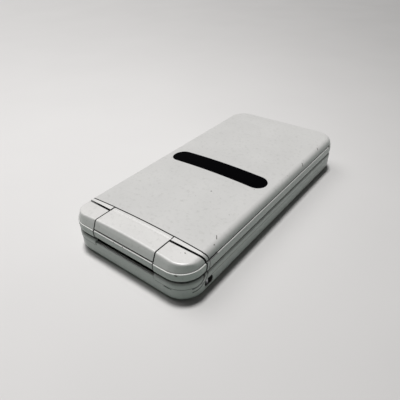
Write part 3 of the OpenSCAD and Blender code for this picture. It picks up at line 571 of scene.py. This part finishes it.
def moulded(name, colour, grain, depth, roughness):
    """Moulded plastic or rubber with a fine grain and a little mottling."""
    finish = Finish(name)
    mottle = finish.noise(0.5, detail=3)
    fine = finish.noise(grain, detail=2)
    finish.give(
        Base_Color=finish.mix(mottle * 0.6 + fine * 0.4, tint(colour, 0.82), tint(colour, 1.12)),
        Roughness=fine * 0.14 + roughness - 0.07,
    )
    finish.bump(fine, depth, strength=0.6)
    return finish


def dome_film(colours):
    """Milky film whose domes are bright metal."""
    finish = Finish("dome_film")
    top = box_mm("dome_sheet")[1][2]
    domes = finish.z.ramp(top - 0.1, top - 0.06)
    fine = finish.noise(4)
    film = finish.mix(fine, tint(colours.film, 0.95), tint(colours.film, 1.04))
    finish.give(
        Base_Color=finish.mix(domes, film, tint(colours.steel, 1)),
        Metallic=domes,
        Roughness=fine * 0.1 + 0.35,
    )
    finish.bump(fine, depth=0.01, strength=0.4)
    return finish


def amber_film(colours):
    """Amber polyimide with fine copper tracks."""
    finish = Finish("amber_film", Coat_Weight=0.3)
    tracks = finish.waves("X", 0.6).ramp(0.5, 0.6)
    fine = finish.noise(5)
    film = finish.mix(fine, tint(colours.amber, 0.9), tint(colours.amber, 1.08))
    finish.give(
        Base_Color=finish.mix(tracks * 0.7, film, tint(colours.copper, 1)),
        Roughness=fine * 0.15 + 0.25,
    )
    finish.bump(tracks, depth=0.02, strength=0.5)
    return finish


def legend_ink(name, colour):
    """Ink printed on a key, thin enough to show the grain below it."""
    finish = Finish(name)
    fade = finish.noise(3, detail=3)
    finish.give(
        Base_Color=finish.mix(fade, tint(colour, 0.85), tint(colour, 1.35)),
        Roughness=fade * 0.2 + 0.4,
    )
    finish.bump(finish.noise(9), depth=0.002, strength=0.4)
    return finish


# ----------------------------------------------------------- moulded pieces


def add_object(name, data):
    """A new object in the scene, of that mesh, lamp or camera."""
    thing = bpy.data.objects.new(name, data)
    bpy.context.scene.collection.objects.link(thing)
    return thing


TINY = 1e-6
# A moulded mesh: its cells of room before and after the solid, and how often its points are settled
ROOM_BEFORE = 1.5
ROOM_AFTER = 1.6
SETTLE_PASSES = 4


def round_meet(first, second, radius):
    """Distance to what two solids share, with a round of that radius where they meet."""
    over = np.hypot(np.maximum(first + radius, 0), np.maximum(second + radius, 0))
    return np.minimum(np.maximum(first, second), -radius) + over


def plan_distance(x, y):
    """Distance outwards from the phone's outline, seen from above."""
    side = np.abs(x) - (HALF_W - CORNER_R)
    end = np.abs(y) - (HALF_L - CORNER_R)
    corner = np.hypot(np.maximum(side, 0), np.maximum(end, 0))
    return corner + np.minimum(np.maximum(side, end), 0) - CORNER_R


def crown_distance(x, z):
    """Distance above the crown that runs across the lid."""
    return np.hypot(x, z - CROWN_Z + CROWN_R) - CROWN_R


def hinge_distance(y, z):
    """Distance from the hinge axis."""
    return np.hypot(y - HINGE_Y, z - HINGE_Z)


def sloped_top(x, y, z, crest):
    """The steep face at the hinge end and the crown above it, with a soft crest between them."""
    side = np.maximum(np.abs(x) - (HALF_W - CORNER_R), 0)
    end = np.maximum(np.abs(y) - (HALF_L - CORNER_R), 0)
    turned = side / np.maximum(np.hypot(side, end), LEDGE_R)
    rise = math.tan(CAP_SLOPE) * (1 - CORNER_STEEP * turned)
    slope = (plan_distance(x, y) + CAP_INSET + (z - BAND_TOP) * rise) / np.hypot(1, rise)
    top = round_meet(slope, crown_distance(x, z), crest)
    section = round_meet(np.abs(x) - (HALF_W - COVER_INSET), crown_distance(x, z), COVER_R)
    return round_meet(top, section, SECTION_R)


def hinge_cap_solid(side, crest, edge):
    """The solid of one hinge cap, as a distance."""

    def distance(x, y, z):
        x = side * x
        plan = plan_distance(x, y)
        body = round_meet(plan, z - BAND_TOP, LEDGE_R)
        body = round_meet(body, CAP_FOOT_Z - z, CAP_FOOT_R)
        upper = np.maximum(sloped_top(x, y, z, crest), BAND_TOP - 2 * LEDGE_R - z)
        whole = np.minimum(body, upper)
        end = np.minimum(hinge_distance(y, z) - CAP_R, y - HINGE_Y)
        whole = round_meet(whole, end, edge)
        whole = round_meet(whole, CAP_X - x, edge)
        bore = np.maximum(hinge_distance(y, z) - BORE_R, x - SHAFT_END)
        return np.maximum(whole, -bore)

    return distance


def barrel_cover_solid(crest, edge):
    """The solid of the barrel's cover, as a distance."""
    middle_x = (BARREL_HIGH[0] + BARREL_LOW[0]) / 2
    half_x = (BARREL_HIGH[0] - BARREL_LOW[0]) / 2

    def distance(x, y, z):
        top = sloped_top(x, y, z, crest)
        dip = np.hypot(y - GROOVE_Y, crown_distance(x, z) - GROOVE_R + GROOVE_DEEP) - GROOVE_R
        top = np.maximum(top, -dip)
        whole = round_meet(top, y - BARREL_HIGH[1], edge)
        whole = round_meet(whole, np.abs(x - middle_x) - half_x, edge)
        whole = round_meet(whole, BARREL_LOW[2] - z, BARREL_FOOT_R)
        return np.maximum(whole, BARREL_BORE_R - hinge_distance(y, z))

    return distance


def gradient(distance, points):
    """The direction in which a distance grows, at each point."""
    step = 0.02
    slopes = []
    for axis in range(3):
        shift = np.zeros(3)
        shift[axis] = step
        slopes.append(distance(*(points + shift).T) - distance(*(points - shift).T))
    slopes = np.stack(slopes, 1) / (2 * step)
    return slopes / np.maximum(np.linalg.norm(slopes, axis=1), TINY)[:, None]


def skin(name, distance, low, high, step):
    """A mesh object of the surface of a solid, one vertex to each cell that the surface passes."""
    axes = [np.arange(a - ROOM_BEFORE * step, b + ROOM_AFTER * step, step) for a, b in zip(low, high)]
    grid = np.meshgrid(*axes, indexing="ij")
    field = distance(*grid)
    inside = field < 0
    cells = tuple(size - 1 for size in field.shape)
    total = np.zeros(cells + (3,))
    count = np.zeros(cells)
    corners = [(i, j, k) for i in (0, 1) for j in (0, 1) for k in (0, 1)]
    for first in corners:
        for axis in range(3):
            if first[axis]:
                continue
            second = tuple(value + (index == axis) for index, value in enumerate(first))
            a, b = (
                field[tuple(slice(value, value + size) for value, size in zip(corner, cells))]
                for corner in (first, second)
            )
            crossed = (a < 0) != (b < 0)
            share = np.where(crossed, a / np.where(crossed, a - b, 1), 0)
            for index in range(3):
                place = first[index] + (share if index == axis else 0)
                total[..., index] += np.where(crossed, place, 0)
            count += crossed
    used = count > 0
    numbers = np.full(cells, -1)
    numbers[used] = np.arange(used.sum())
    points = (np.argwhere(used) + total[used] / count[used][:, None]) * step + [axis[0] for axis in axes]
    for _ in range(SETTLE_PASSES):
        away = distance(*points.T)
        points -= gradient(distance, points) * np.clip(away, -step, step)[:, None]
    faces = []
    for axis in range(3):
        other = [index for index in range(3) if index != axis]
        lower = tuple(slice(0, -1) if index == axis else slice(1, -1) for index in range(3))
        upper = tuple(slice(1, None) if index == axis else slice(1, -1) for index in range(3))
        for outwards in (True, False):
            crossed = inside[lower] & ~inside[upper] if outwards else ~inside[lower] & inside[upper]
            where = np.argwhere(crossed)
            for index in other:
                where[:, index] += 1
            ring = []
            for first, second in ((0, 0), (1, 0), (1, 1), (0, 1)):
                cell = where.copy()
                cell[:, other[0]] -= first
                cell[:, other[1]] -= second
                ring.append(numbers[tuple(cell.T)])
            quads = np.stack(ring, 1)
            faces.append(quads if outwards == (axis != 1) else quads[:, ::-1])
    faces = np.concatenate(faces)
    mesh = bpy.data.meshes.new(name)
    mesh.from_pydata((points * MM).tolist(), [], faces.tolist())
    mesh.shade_smooth()
    mesh.normals_split_custom_set_from_vertices(gradient(distance, points).tolist())
    mesh.update()
    return add_object(name, mesh)


# -------------------------------------------------------------- key legends


def arc(x, y, width, height, start, end, steps=14):
    """Points on an ellipse, from one angle to another in degrees."""
    turns = [math.radians(start + (end - start) * index / steps) for index in range(steps + 1)]
    return [(x + width * math.cos(turn), y + height * math.sin(turn)) for turn in turns]


def star(points, radius):
    """Straight strokes through a middle."""
    turns = [math.pi * index / points + math.pi / 2 for index in range(points)]
    ends = [(radius * math.cos(turn), radius * math.sin(turn)) for turn in turns]
    return [[(x, y), (-x, -y)] for x, y in ends]


# Share of the full size that the function keys' legends have
SMALL_LEGEND = 0.75
# Straight steps in the round end of a stroke, and how sharply its inner corner may turn
END_STEPS = 5
SHARPEST_TURN = 0.45
# How near to its end a point of a key's mesh counts as its rim, in millimetres
RIM_REACH = 0.02

# Strokes of each legend, in a box one unit wide and one and a half high
LEGENDS = {
    "key_1": [[(-0.24, 0.46), (0.06, 0.7), (0.06, -0.7)]],
    "key_2": [arc(0, 0.3, 0.42, 0.4, 165, -35) + [(-0.42, -0.7), (0.44, -0.7)]],
    "key_3": [arc(-0.02, 0.35, 0.38, 0.35, 155, -90) + arc(-0.02, -0.35, 0.42, 0.35, 90, -155)],
    "key_4": [[(0.22, -0.7), (0.22, 0.7), (-0.45, -0.3), (0.46, -0.3)]],
    "key_5": [[(0.38, 0.7), (-0.3, 0.7), (-0.36, 0.08)] + arc(0, -0.25, 0.43, 0.45, 135, -150)],
    "key_6": [arc(0, -0.28, 0.42, 0.42, 0, 360, 24), arc(0.42, -0.28, 0.84, 0.98, 100, 180)],
    "key_7": [[(-0.42, 0.7), (0.42, 0.7), (-0.12, -0.7)]],
    "key_8": [arc(0, 0.34, 0.34, 0.36, 0, 360, 22), arc(0, -0.35, 0.42, 0.35, 0, 360, 24)],
    "key_9": [arc(0, 0.28, 0.42, 0.42, 0, 360, 24), arc(-0.42, 0.28, 0.84, 0.98, -80, 0)],
    "key_0": [arc(0, 0, 0.43, 0.7, 0, 360, 28)],
    "key_star": star(3, 0.42),
    "key_hash": [
        [(-0.16, 0.5), (-0.24, -0.5)],
        [(0.24, 0.5), (0.16, -0.5)],
        [(-0.45, 0.2), (0.45, 0.2)],
        [(-0.45, -0.2), (0.45, -0.2)],
    ],
    "key_call": [
        arc(0, -0.45, 0.75, 0.75, 150, 30, 12),
        [(-0.72, -0.22), (-0.5, -0.02)],
        [(0.72, -0.22), (0.5, -0.02)],
    ],
    "key_clear_back": [[(0.5, 0), (-0.5, 0)], [(-0.2, 0.28), (-0.5, 0), (-0.2, -0.28)]],
    "key_end": [arc(0, 0, 0.42, 0.42, 125, 415, 22), [(0, 0.1), (0, 0.6)]],
    "soft_key_left_upper": [[(-0.45, 0), (0.45, 0)]],
    "soft_key_left_lower": [arc(0, 0, 0.3, 0.3, 0, 360, 18)],
    "soft_key_right_upper": [[(-0.45, 0), (0.45, 0)]],
    "soft_key_right_lower": [
        [(-0.35, 0.35), (0.35, 0.35)],
        [(-0.35, 0), (0.35, 0)],
        [(-0.35, -0.35), (0.35, -0.35)],
    ],
    "nav_centre_key": [arc(0, 0, 0.55, 0.55, 0, 360, 30)],
}


def key_surface(node):
    """The middle of a key, and a function that gives the height of its top at a place."""
    spots = np.array([vertex.co for vertex in frame["nodes"][node].data.vertices]) / MM
    top = spots[:, 2].max()
    low, high = box_mm(node)
    middle = [(a + b) / 2 for a, b in zip(low, high)]
    end = np.abs(spots[:, 1] - low[1]) < RIM_REACH
    rim = spots[end & (spots[:, 2] > (low[2] + top) / 2)][:, 2].max()
    curve = (top - rim) / (middle[1] - low[1]) ** 2
    across = curve if node == "nav_centre_key" else 0

    def height(x, y):
        return top - curve * (y - middle[1]) ** 2 - across * (x - middle[0]) ** 2

    return middle, height


def stroke_ribbon(points, width, made, height, thick):
    """Adds one printed stroke with round ends to the vertices and faces in made."""
    vertices, faces = made
    path = [Vector(point) for point in points]
    closed = (path[0] - path[-1]).length < TINY
    if closed:
        path.pop()
    count = len(path)
    left, right = [], []
    for index, point in enumerate(path):
        before = path[index - 1] if closed or index else point
        after = path[(index + 1) % count] if closed or index < count - 1 else point
        first = (point - before).normalized() if (point - before).length else (after - point).normalized()
        second = (after - point).normalized() if (after - point).length else first
        middle = (first + second).normalized()
        across = Vector((-middle.y, middle.x))
        reach = width / 2 / max(across.dot(Vector((-second.y, second.x))), SHARPEST_TURN)
        left.append(point + across * reach)
        right.append(point - across * reach)
    if not closed:
        ends = []
        for point, neighbour in ((path[0], path[1]), (path[-1], path[-2])):
            along = (point - neighbour).normalized()
            start = math.atan2(along.y, along.x) + math.pi / 2
            turns = [start - math.pi * index / END_STEPS for index in range(1, END_STEPS)]
            ends.append([point + Vector((math.cos(turn), math.sin(turn))) * width / 2 for turn in turns])
        start, end = ends
        half = len(start) // 2
        left = start[half:] + left + end[:half]
        right = start[:half][::-1] + right + end[half:][::-1]
    base = len(vertices)
    size = len(left)
    for level in (thick, -thick):
        for spot in left + right:
            vertices.append((spot.x, spot.y, height(spot.x, spot.y) + level))
    for index in range(size if closed else size - 1):
        after = (index + 1) % size
        faces.append((base + index, base + size + index, base + size + after, base + after))
        for edge, flip in (((index, after), False), ((size + index, size + after), True)):
            wall = (base + edge[0], base + edge[1], base + 2 * size + edge[1], base + 2 * size + edge[0])
            faces.append(wall[::-1] if flip else wall)
    if not closed:
        for index, flip in ((0, True), (size - 1, False)):
            wall = (base + index, base + size + index, base + 3 * size + index, base + 2 * size + index)
            faces.append(wall if flip else wall[::-1])


def legend(node, strokes, width, scale, thick):
    """The printed legend of one key, as a thin mesh on its top."""
    middle, height = key_surface(node)
    made = ([], [])
    for points in strokes:
        placed = [(middle[0] - x * scale, middle[1] - y * scale) for x, y in points]
        stroke_ribbon(placed, width, made, height, thick)
    mesh = bpy.data.meshes.new("legend_" + node)
    mesh.from_pydata([tuple(value * MM for value in vertex) for vertex in made[0]], [], made[1])
    mesh.update()
    return add_object("legend_" + node, mesh)


# --------------------------------------------------------------- properties


def colour_property(name, description, default):
    return FloatVectorProperty(name=name, description=description, subtype="COLOR", default=default)


def length_property(name, description, millimetres):
    return FloatProperty(name=name, description=description, unit="LENGTH", default=millimetres * MM)


def strength_property(name, description, default):
    return FloatProperty(name=name, description=description, min=0, default=default)


def angle_property(name, description, degrees):
    return FloatProperty(
        name=name, description=description, unit="ROTATION", subtype="ANGLE", default=math.radians(degrees)
    )


class PhoneColours(PropertyGroup):
    """Colours of the phone's finishes."""

    paint: colour_property("Paint", "Pearl paint of the shell", (0.55, 0.544, 0.531))
    grime: colour_property("Grime", "Dirt in the paint", (0.2, 0.2, 0.18))
    hinge_paint: colour_property(
        "Hinge paint", "Pearl paint of the hinge caps and of the barrel", (0.63, 0.62, 0.604)
    )
    # Painted shade: the seams, with some dirt, the gaps and the well round the hinge, the strap eyelet and
    # the strip under the cover's near end
    shade: colour_property("Shade", "Dirt in the seams and in the well of the hinge", (0.02, 0.02, 0.02))
    # Painted shade, with some dirt: darker, greener paint low on the rounded edge of the lid and of the
    # hinge
    soil_and_shade: colour_property("Soil", "Dirt on the rounded edge of the lid", (0.15, 0.185, 0.16))
    chip: colour_property("Worn spot", "Where paint is lost", (0.07, 0.068, 0.06))
    key: colour_property("Keys", "Keycaps", (0.7, 0.715, 0.7))
    ink: colour_property("Ink", "Legends of the keys", (0.05, 0.055, 0.06))
    call: colour_property("Call ink", "Legend of the call key", (0.03, 0.3, 0.08))
    end: colour_property("End ink", "Legend of the end key", (0.45, 0.03, 0.03))
    window: colour_property("Window", "Black of the display windows", (0.001, 0.001, 0.0014))
    panel: colour_property("Panel", "Main display while it is off", (0.02, 0.022, 0.026))
    steel: colour_property("Steel", "Pins, screws and cans", (0.55, 0.56, 0.58))
    plating: colour_property("Plating", "Ring key", (0.6, 0.61, 0.62))
    board: colour_property("Board", "Solder mask", (0.02, 0.12, 0.06))
    tin: colour_property("Tin", "Pads on the boards", (0.6, 0.6, 0.58))
    gold: colour_property("Gold", "Contacts and antenna", (0.75, 0.5, 0.18))
    graphite: colour_property("Graphite", "Dark mouldings and the battery's film", (0.03, 0.03, 0.033))
    mat: colour_property("Mat", "Rubber mat under the keys", (0.6, 0.6, 0.57))
    pad: colour_property("Pad", "Soft pads of the lid", (0.3, 0.31, 0.31))
    film: colour_property("Film", "Film that carries the domes", (0.62, 0.61, 0.5))
    amber: colour_property("Amber", "Flexible circuit", (0.42, 0.16, 0.02))
    copper: colour_property("Copper", "Tracks on the flexible circuit", (0.5, 0.22, 0.1))


class PhoneForms(PropertyGroup):
    """Sizes of the moulded edges and of the legends."""

    crest: length_property("Crest", "Round between the steep face and the crown", 0.55)
    edge: length_property("Edge", "Round of the moulded edges", 0.14)
    cell: length_property("Cell", "Size of the cells that a moulded mesh is made from", 0.15)
    stroke: length_property("Stroke", "Width of a legend's strokes", 0.42)
    legend: length_property("Legend", "Height of one unit of a legend", 2.7)
    print_height: length_property("Print", "How far the print stands above a key", 0.02)


class PhoneStudio(PropertyGroup):
    """Light and floor of the studio."""

    backdrop: colour_property(
        "Backdrop", "Colour of the floor and of what is behind it", (0.64, 0.628, 0.62)
    )
    bounce: colour_property("Bounce", "Colour that the floor throws back on the phone", (0.29, 0.36, 0.325))
    sky: strength_property("Sky", "Strength of the light from all round", 0.055)
    main_lamp: strength_property("Main lamp", "Strength of the lamp overhead", 2.8)
    main_spread: angle_property("Main spread", "Angle that the lamp overhead takes up", 10)
    main_turn: angle_property("Main turn", "Direction of the lamp overhead, from the +X side", 137)
    main_height: angle_property("Main height", "Height of the lamp overhead above the floor", 79.5)
    side_lamp: strength_property("Side lamp", "Strength of the wide lamp at the side", 0.84)
    side_spread: angle_property("Side spread", "Angle that the wide lamp takes up", 34)
    side_turn: angle_property("Side turn", "Direction of the wide lamp, from the +X side", 176)
    side_height: angle_property("Side height", "Height of the wide lamp above the floor", 57)
    floor_reach: length_property("Floor", "Half the width of the floor", 3000)


# ---------------------------------------------------------------- operators


class PHONE_OT_shell(Operator):
    """Paints the outer shells."""

    bl_idname = "phone.shell"
    bl_label = "Shells"

    def execute(self, context):
        colours = context.scene.phone_colours
        paint = pearl_paint("pearl_paint", colours.paint, colours)
        dress(paint, "base_lower_case", "base_upper_case", "lid_inner_case")
        dress(paint, "battery_cover", "port_cover", "side_key")
        paint = pearl_paint("lid_paint", colours.paint, colours, soiled_and_shaded=0.22)
        dress(paint, "lid_outer_cover")
        paint = pearl_paint("hinge_paint", colours.hinge_paint, colours, soiled_and_shaded=0.2)
        dress(paint, "hinge_cap_left", "hinge_cap_right", "hinge_barrel_cover")
        return {"FINISHED"}


class PHONE_OT_hinge_caps(Operator):
    """Moulds the two hinge caps with their soft crest."""

    bl_idname = "phone.hinge_caps"
    bl_label = "Hinge caps"

    def execute(self, context):
        forms = context.scene.phone_forms
        for side, node in ((-1, "hinge_cap_left"), (1, "hinge_cap_right")):
            solid = hinge_cap_solid(side, forms.crest / MM, forms.edge / MM)
            piece = skin("moulded_" + node, solid, *box_mm(node), forms.cell / MM)
            piece.data.materials.append(bpy.data.materials["hinge_paint"])
            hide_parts(node)
            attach(piece, "base")
        return {"FINISHED"}


class PHONE_OT_barrel_cover(Operator):
    """Moulds the cover of the barrel with its soft crest and its shallow dip."""

    bl_idname = "phone.barrel_cover"
    bl_label = "Barrel cover"

    def execute(self, context):
        forms = context.scene.phone_forms
        solid = barrel_cover_solid(forms.crest / MM, forms.edge / MM)
        piece = skin("moulded_hinge_barrel_cover", solid, BARREL_LOW, BARREL_HIGH, forms.cell / MM)
        piece.data.materials.append(bpy.data.materials["hinge_paint"])
        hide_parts("hinge_barrel_cover")
        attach(piece, "lid")
        return {"FINISHED"}


class PHONE_OT_keypad(Operator):
    """Finishes the keys, and prints a legend on each of them."""

    bl_idname = "phone.keypad"
    bl_label = "Keypad"

    def execute(self, context):
        colours, forms = context.scene.phone_colours, context.scene.phone_forms
        dress(key_plastic(colours), *LEGENDS)
        dress(spun_metal(colours), "nav_ring")
        carrier = moulded("carrier_plastic", colours.graphite, grain=5, depth=0.01, roughness=0.5)
        dress(carrier, "nav_carrier")
        call, end = legend_ink("call_ink", colours.call), legend_ink("end_ink", colours.end)
        inks = {"key_call": call, "key_end": end}
        plain = legend_ink("legend_ink", colours.ink)
        bodies = frame["record"]["behaviour"]["bodies"]
        body_of = {node: body for body, nodes in bodies.items() for node in nodes}
        for node, strokes in LEGENDS.items():
            scale = forms.legend / MM * (SMALL_LEGEND if node.startswith(("soft", "key_c", "key_e")) else 1)
            piece = legend(node, strokes, forms.stroke / MM, scale, forms.print_height / MM)
            piece.data.materials.append(inks.get(node, plain).material)
            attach(piece, body_of[node])
        return {"FINISHED"}


class PHONE_OT_displays(Operator):
    """Finishes the windows and the displays behind them."""

    bl_idname = "phone.displays"
    bl_label = "Displays"

    def execute(self, context):
        colours = context.scene.phone_colours
        dress(outer_window(colours), "sub_display_window", "camera_window")
        dress(main_window(colours), "main_display_window")
        back = moulded("display_back", colours.panel, grain=3, depth=0.004, roughness=0.3)
        dress(back, "main_display_module", "sub_display_module")
        return {"FINISHED"}


class PHONE_OT_metal_parts(Operator):
    """Finishes the pins, the screws and the pressed metal."""

    bl_idname = "phone.metal_parts"
    bl_label = "Metal parts"

    def execute(self, context):
        colours = context.scene.phone_colours
        turned = brushed_steel("turned_steel", colours.steel, along=(0.08, 1, 1))
        dress(turned, "hinge_shaft", "hinge_dummy_pin", "hinge_cartridge")
        pressed = brushed_steel("pressed_steel", colours.steel, along=(1, 0.1, 1), roughness=0.36)
        dress(pressed, "shield_cans", "port_socket", "microphone", "vibration_motor")
        screws = brushed_steel("screw_steel", colours.steel, along=(1, 1, 0.1), roughness=0.3)
        dress(screws, "base_screws", "lid_screws", "strap_post")
        dress(gold_plate(colours), "battery_contacts", "antenna")
        return {"FINISHED"}


class PHONE_OT_inner_parts(Operator):
    """Finishes the boards, the battery, the mat and the small mouldings."""

    bl_idname = "phone.inner_parts"
    bl_label = "Inner parts"

    def execute(self, context):
        colours = context.scene.phone_colours
        dress(solder_mask(colours), "main_circuit_board", "lid_circuit_board")
        dress(battery_film(colours), "battery_pack")
        dress(moulded("mat_rubber", colours.mat, grain=4, depth=0.008, roughness=0.6), "keypad_mat")
        dress(moulded("pad_rubber", colours.pad, grain=6, depth=0.01, roughness=0.65), "lid_bumpers")
        dress(dome_film(colours), "dome_sheet")
        dress(amber_film(colours), "hinge_flex_cable")
        black = moulded("black_moulding", colours.graphite, grain=5, depth=0.01, roughness=0.5)
        dress(black, "loudspeaker", "earpiece_speaker", "camera_module", "hinge_bush")
        return {"FINISHED"}


class PHONE_OT_studio(Operator):
    """Sets the floor, the light and the camera."""

    bl_idname = "phone.studio"
    bl_label = "Studio"

    def execute(self, context):
        studio = context.scene.phone_studio
        self.floor(studio)
        self.light(context, studio)
        self.camera(context)
        context.scene.view_settings.view_transform = "Standard"
        return {"FINISHED"}

    def floor(self, studio):
        reach = studio.floor_reach
        mesh = bpy.data.meshes.new("studio_floor")
        corners = [(-reach, -reach, 0), (reach, -reach, 0), (reach, reach, 0), (-reach, reach, 0)]
        mesh.from_pydata(corners, [], [(0, 1, 2, 3)])
        finish = Finish("studio_floor", Roughness=1.0, Specular_IOR_Level=0.0)
        # Painted pool of light: the floor's colour is palest under the lamp and fades away from it; specks
        # and clouds are the floor's own
        x, y = finish.x * (MM / POOL), finish.y * (MM / POOL)
        square = x * x + y * y
        near = (square * POOL_EVEN + 1) ** -0.5
        share = 1 - (x * POOL_FALL[0] + y * POOL_FALL[1]) * near - square * near * near * POOL_FALL[2]
        specks = finish.noise(0.5, detail=3, roughness=0.7).ramp(0.74, 0.8) * 0.1
        cloud = (finish.noise(0.02, detail=4) - 0.5) * 0.05
        share = (share + cloud - specks - POOL_EDGE) / (POOL_PEAK - POOL_EDGE)
        pale = finish.mix(share, tint(studio.backdrop, POOL_EDGE), tint(studio.backdrop, POOL_PEAK))
        finish.give(Base_Color=finish.mix(finish.seen(), tint(studio.bounce, 1), pale))
        mesh.materials.append(finish.material)
        add_object("studio_floor", mesh)

    def light(self, context, studio):
        for name in ("main", "side"):
            strength, spread, turn, height = (
                getattr(studio, f"{name}_{part}") for part in ("lamp", "spread", "turn", "height")
            )
            lamp = bpy.data.lights.new(name + "_lamp", "SUN")
            lamp.energy = strength
            lamp.angle = spread
            holder = add_object(name + "_lamp", lamp)
            flat = math.cos(height)
            towards = Vector((math.cos(turn) * flat, math.sin(turn) * flat, math.sin(height)))
            holder.rotation_mode = "QUATERNION"
            holder.rotation_quaternion = towards.to_track_quat("Z", "Y")
        world = bpy.data.worlds.new("studio_world")
        nodes = Nodes(world)
        around = nodes.node("ShaderNodeBackground", inputs={"Color": (1, 1, 1, 1), "Strength": studio.sky})
        behind = nodes.node("ShaderNodeBackground", inputs={"Color": tint(studio.backdrop, POOL_BEHIND)})
        both = nodes.node("ShaderNodeMixShader", inputs={0: nodes.seen(), 1: around, 2: behind})
        nodes.node("ShaderNodeOutputWorld", inputs={"Surface": both})
        context.scene.world = world

    def camera(self, context):
        flat = math.cos(CAMERA_ELEVATION)
        back = Vector((
            math.sin(CAMERA_AZIMUTH) * flat,
            -math.cos(CAMERA_AZIMUTH) * flat,
            math.sin(CAMERA_ELEVATION),
        ))
        right = Vector((0, 0, 1)).cross(back).normalized()
        up = back.cross(right)
        turn = Matrix.Rotation(CAMERA_ROLL, 3, back)
        axes = Matrix((turn @ right, turn @ up, back)).transposed()
        lens = bpy.data.cameras.new("studio_camera")
        lens.sensor_width = SENSOR_WIDTH
        lens.lens = CAMERA_FOCAL_PIXELS / PICTURE_PIXELS * SENSOR_WIDTH
        lens.clip_start, lens.clip_end = CAMERA_CLIP
        camera = add_object("studio_camera", lens)
        place = (Vector(CAMERA_TARGET) + back * CAMERA_DISTANCE) * MM
        camera.matrix_world = Matrix.Translation(place) @ axes.to_4x4()
        context.scene.camera = camera


class PHONE_PT_sidebar(Panel):
    """Lists the steps that dress the phone."""

    bl_idname = "PHONE_PT_sidebar"
    bl_label = "Clamshell phone"
    bl_space_type = "VIEW_3D"
    bl_region_type = "UI"
    bl_category = "Phone"

    def draw(self, context):
        for operator in OPERATORS:
            self.layout.operator(operator.bl_idname)


OPERATORS = (
    PHONE_OT_shell,
    PHONE_OT_hinge_caps,
    PHONE_OT_barrel_cover,
    PHONE_OT_keypad,
    PHONE_OT_displays,
    PHONE_OT_metal_parts,
    PHONE_OT_inner_parts,
    PHONE_OT_studio,
)
GROUPS = {"phone_colours": PhoneColours, "phone_forms": PhoneForms, "phone_studio": PhoneStudio}


def register():
    for kind in (*GROUPS.values(), *OPERATORS, PHONE_PT_sidebar):
        bpy.utils.register_class(kind)
    for name, kind in GROUPS.items():
        setattr(bpy.types.Scene, name, PointerProperty(type=kind))


def unregister():
    for name in GROUPS:
        delattr(bpy.types.Scene, name)
    for kind in (PHONE_PT_sidebar, *reversed(OPERATORS), *reversed(tuple(GROUPS.values()))):
        bpy.utils.unregister_class(kind)


def main():
    """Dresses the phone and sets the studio."""
    register()
    for operator in OPERATORS:
        group, name = operator.bl_idname.split(".")
        getattr(getattr(bpy.ops, group), name)()


if __name__ == "__main__":
    main()
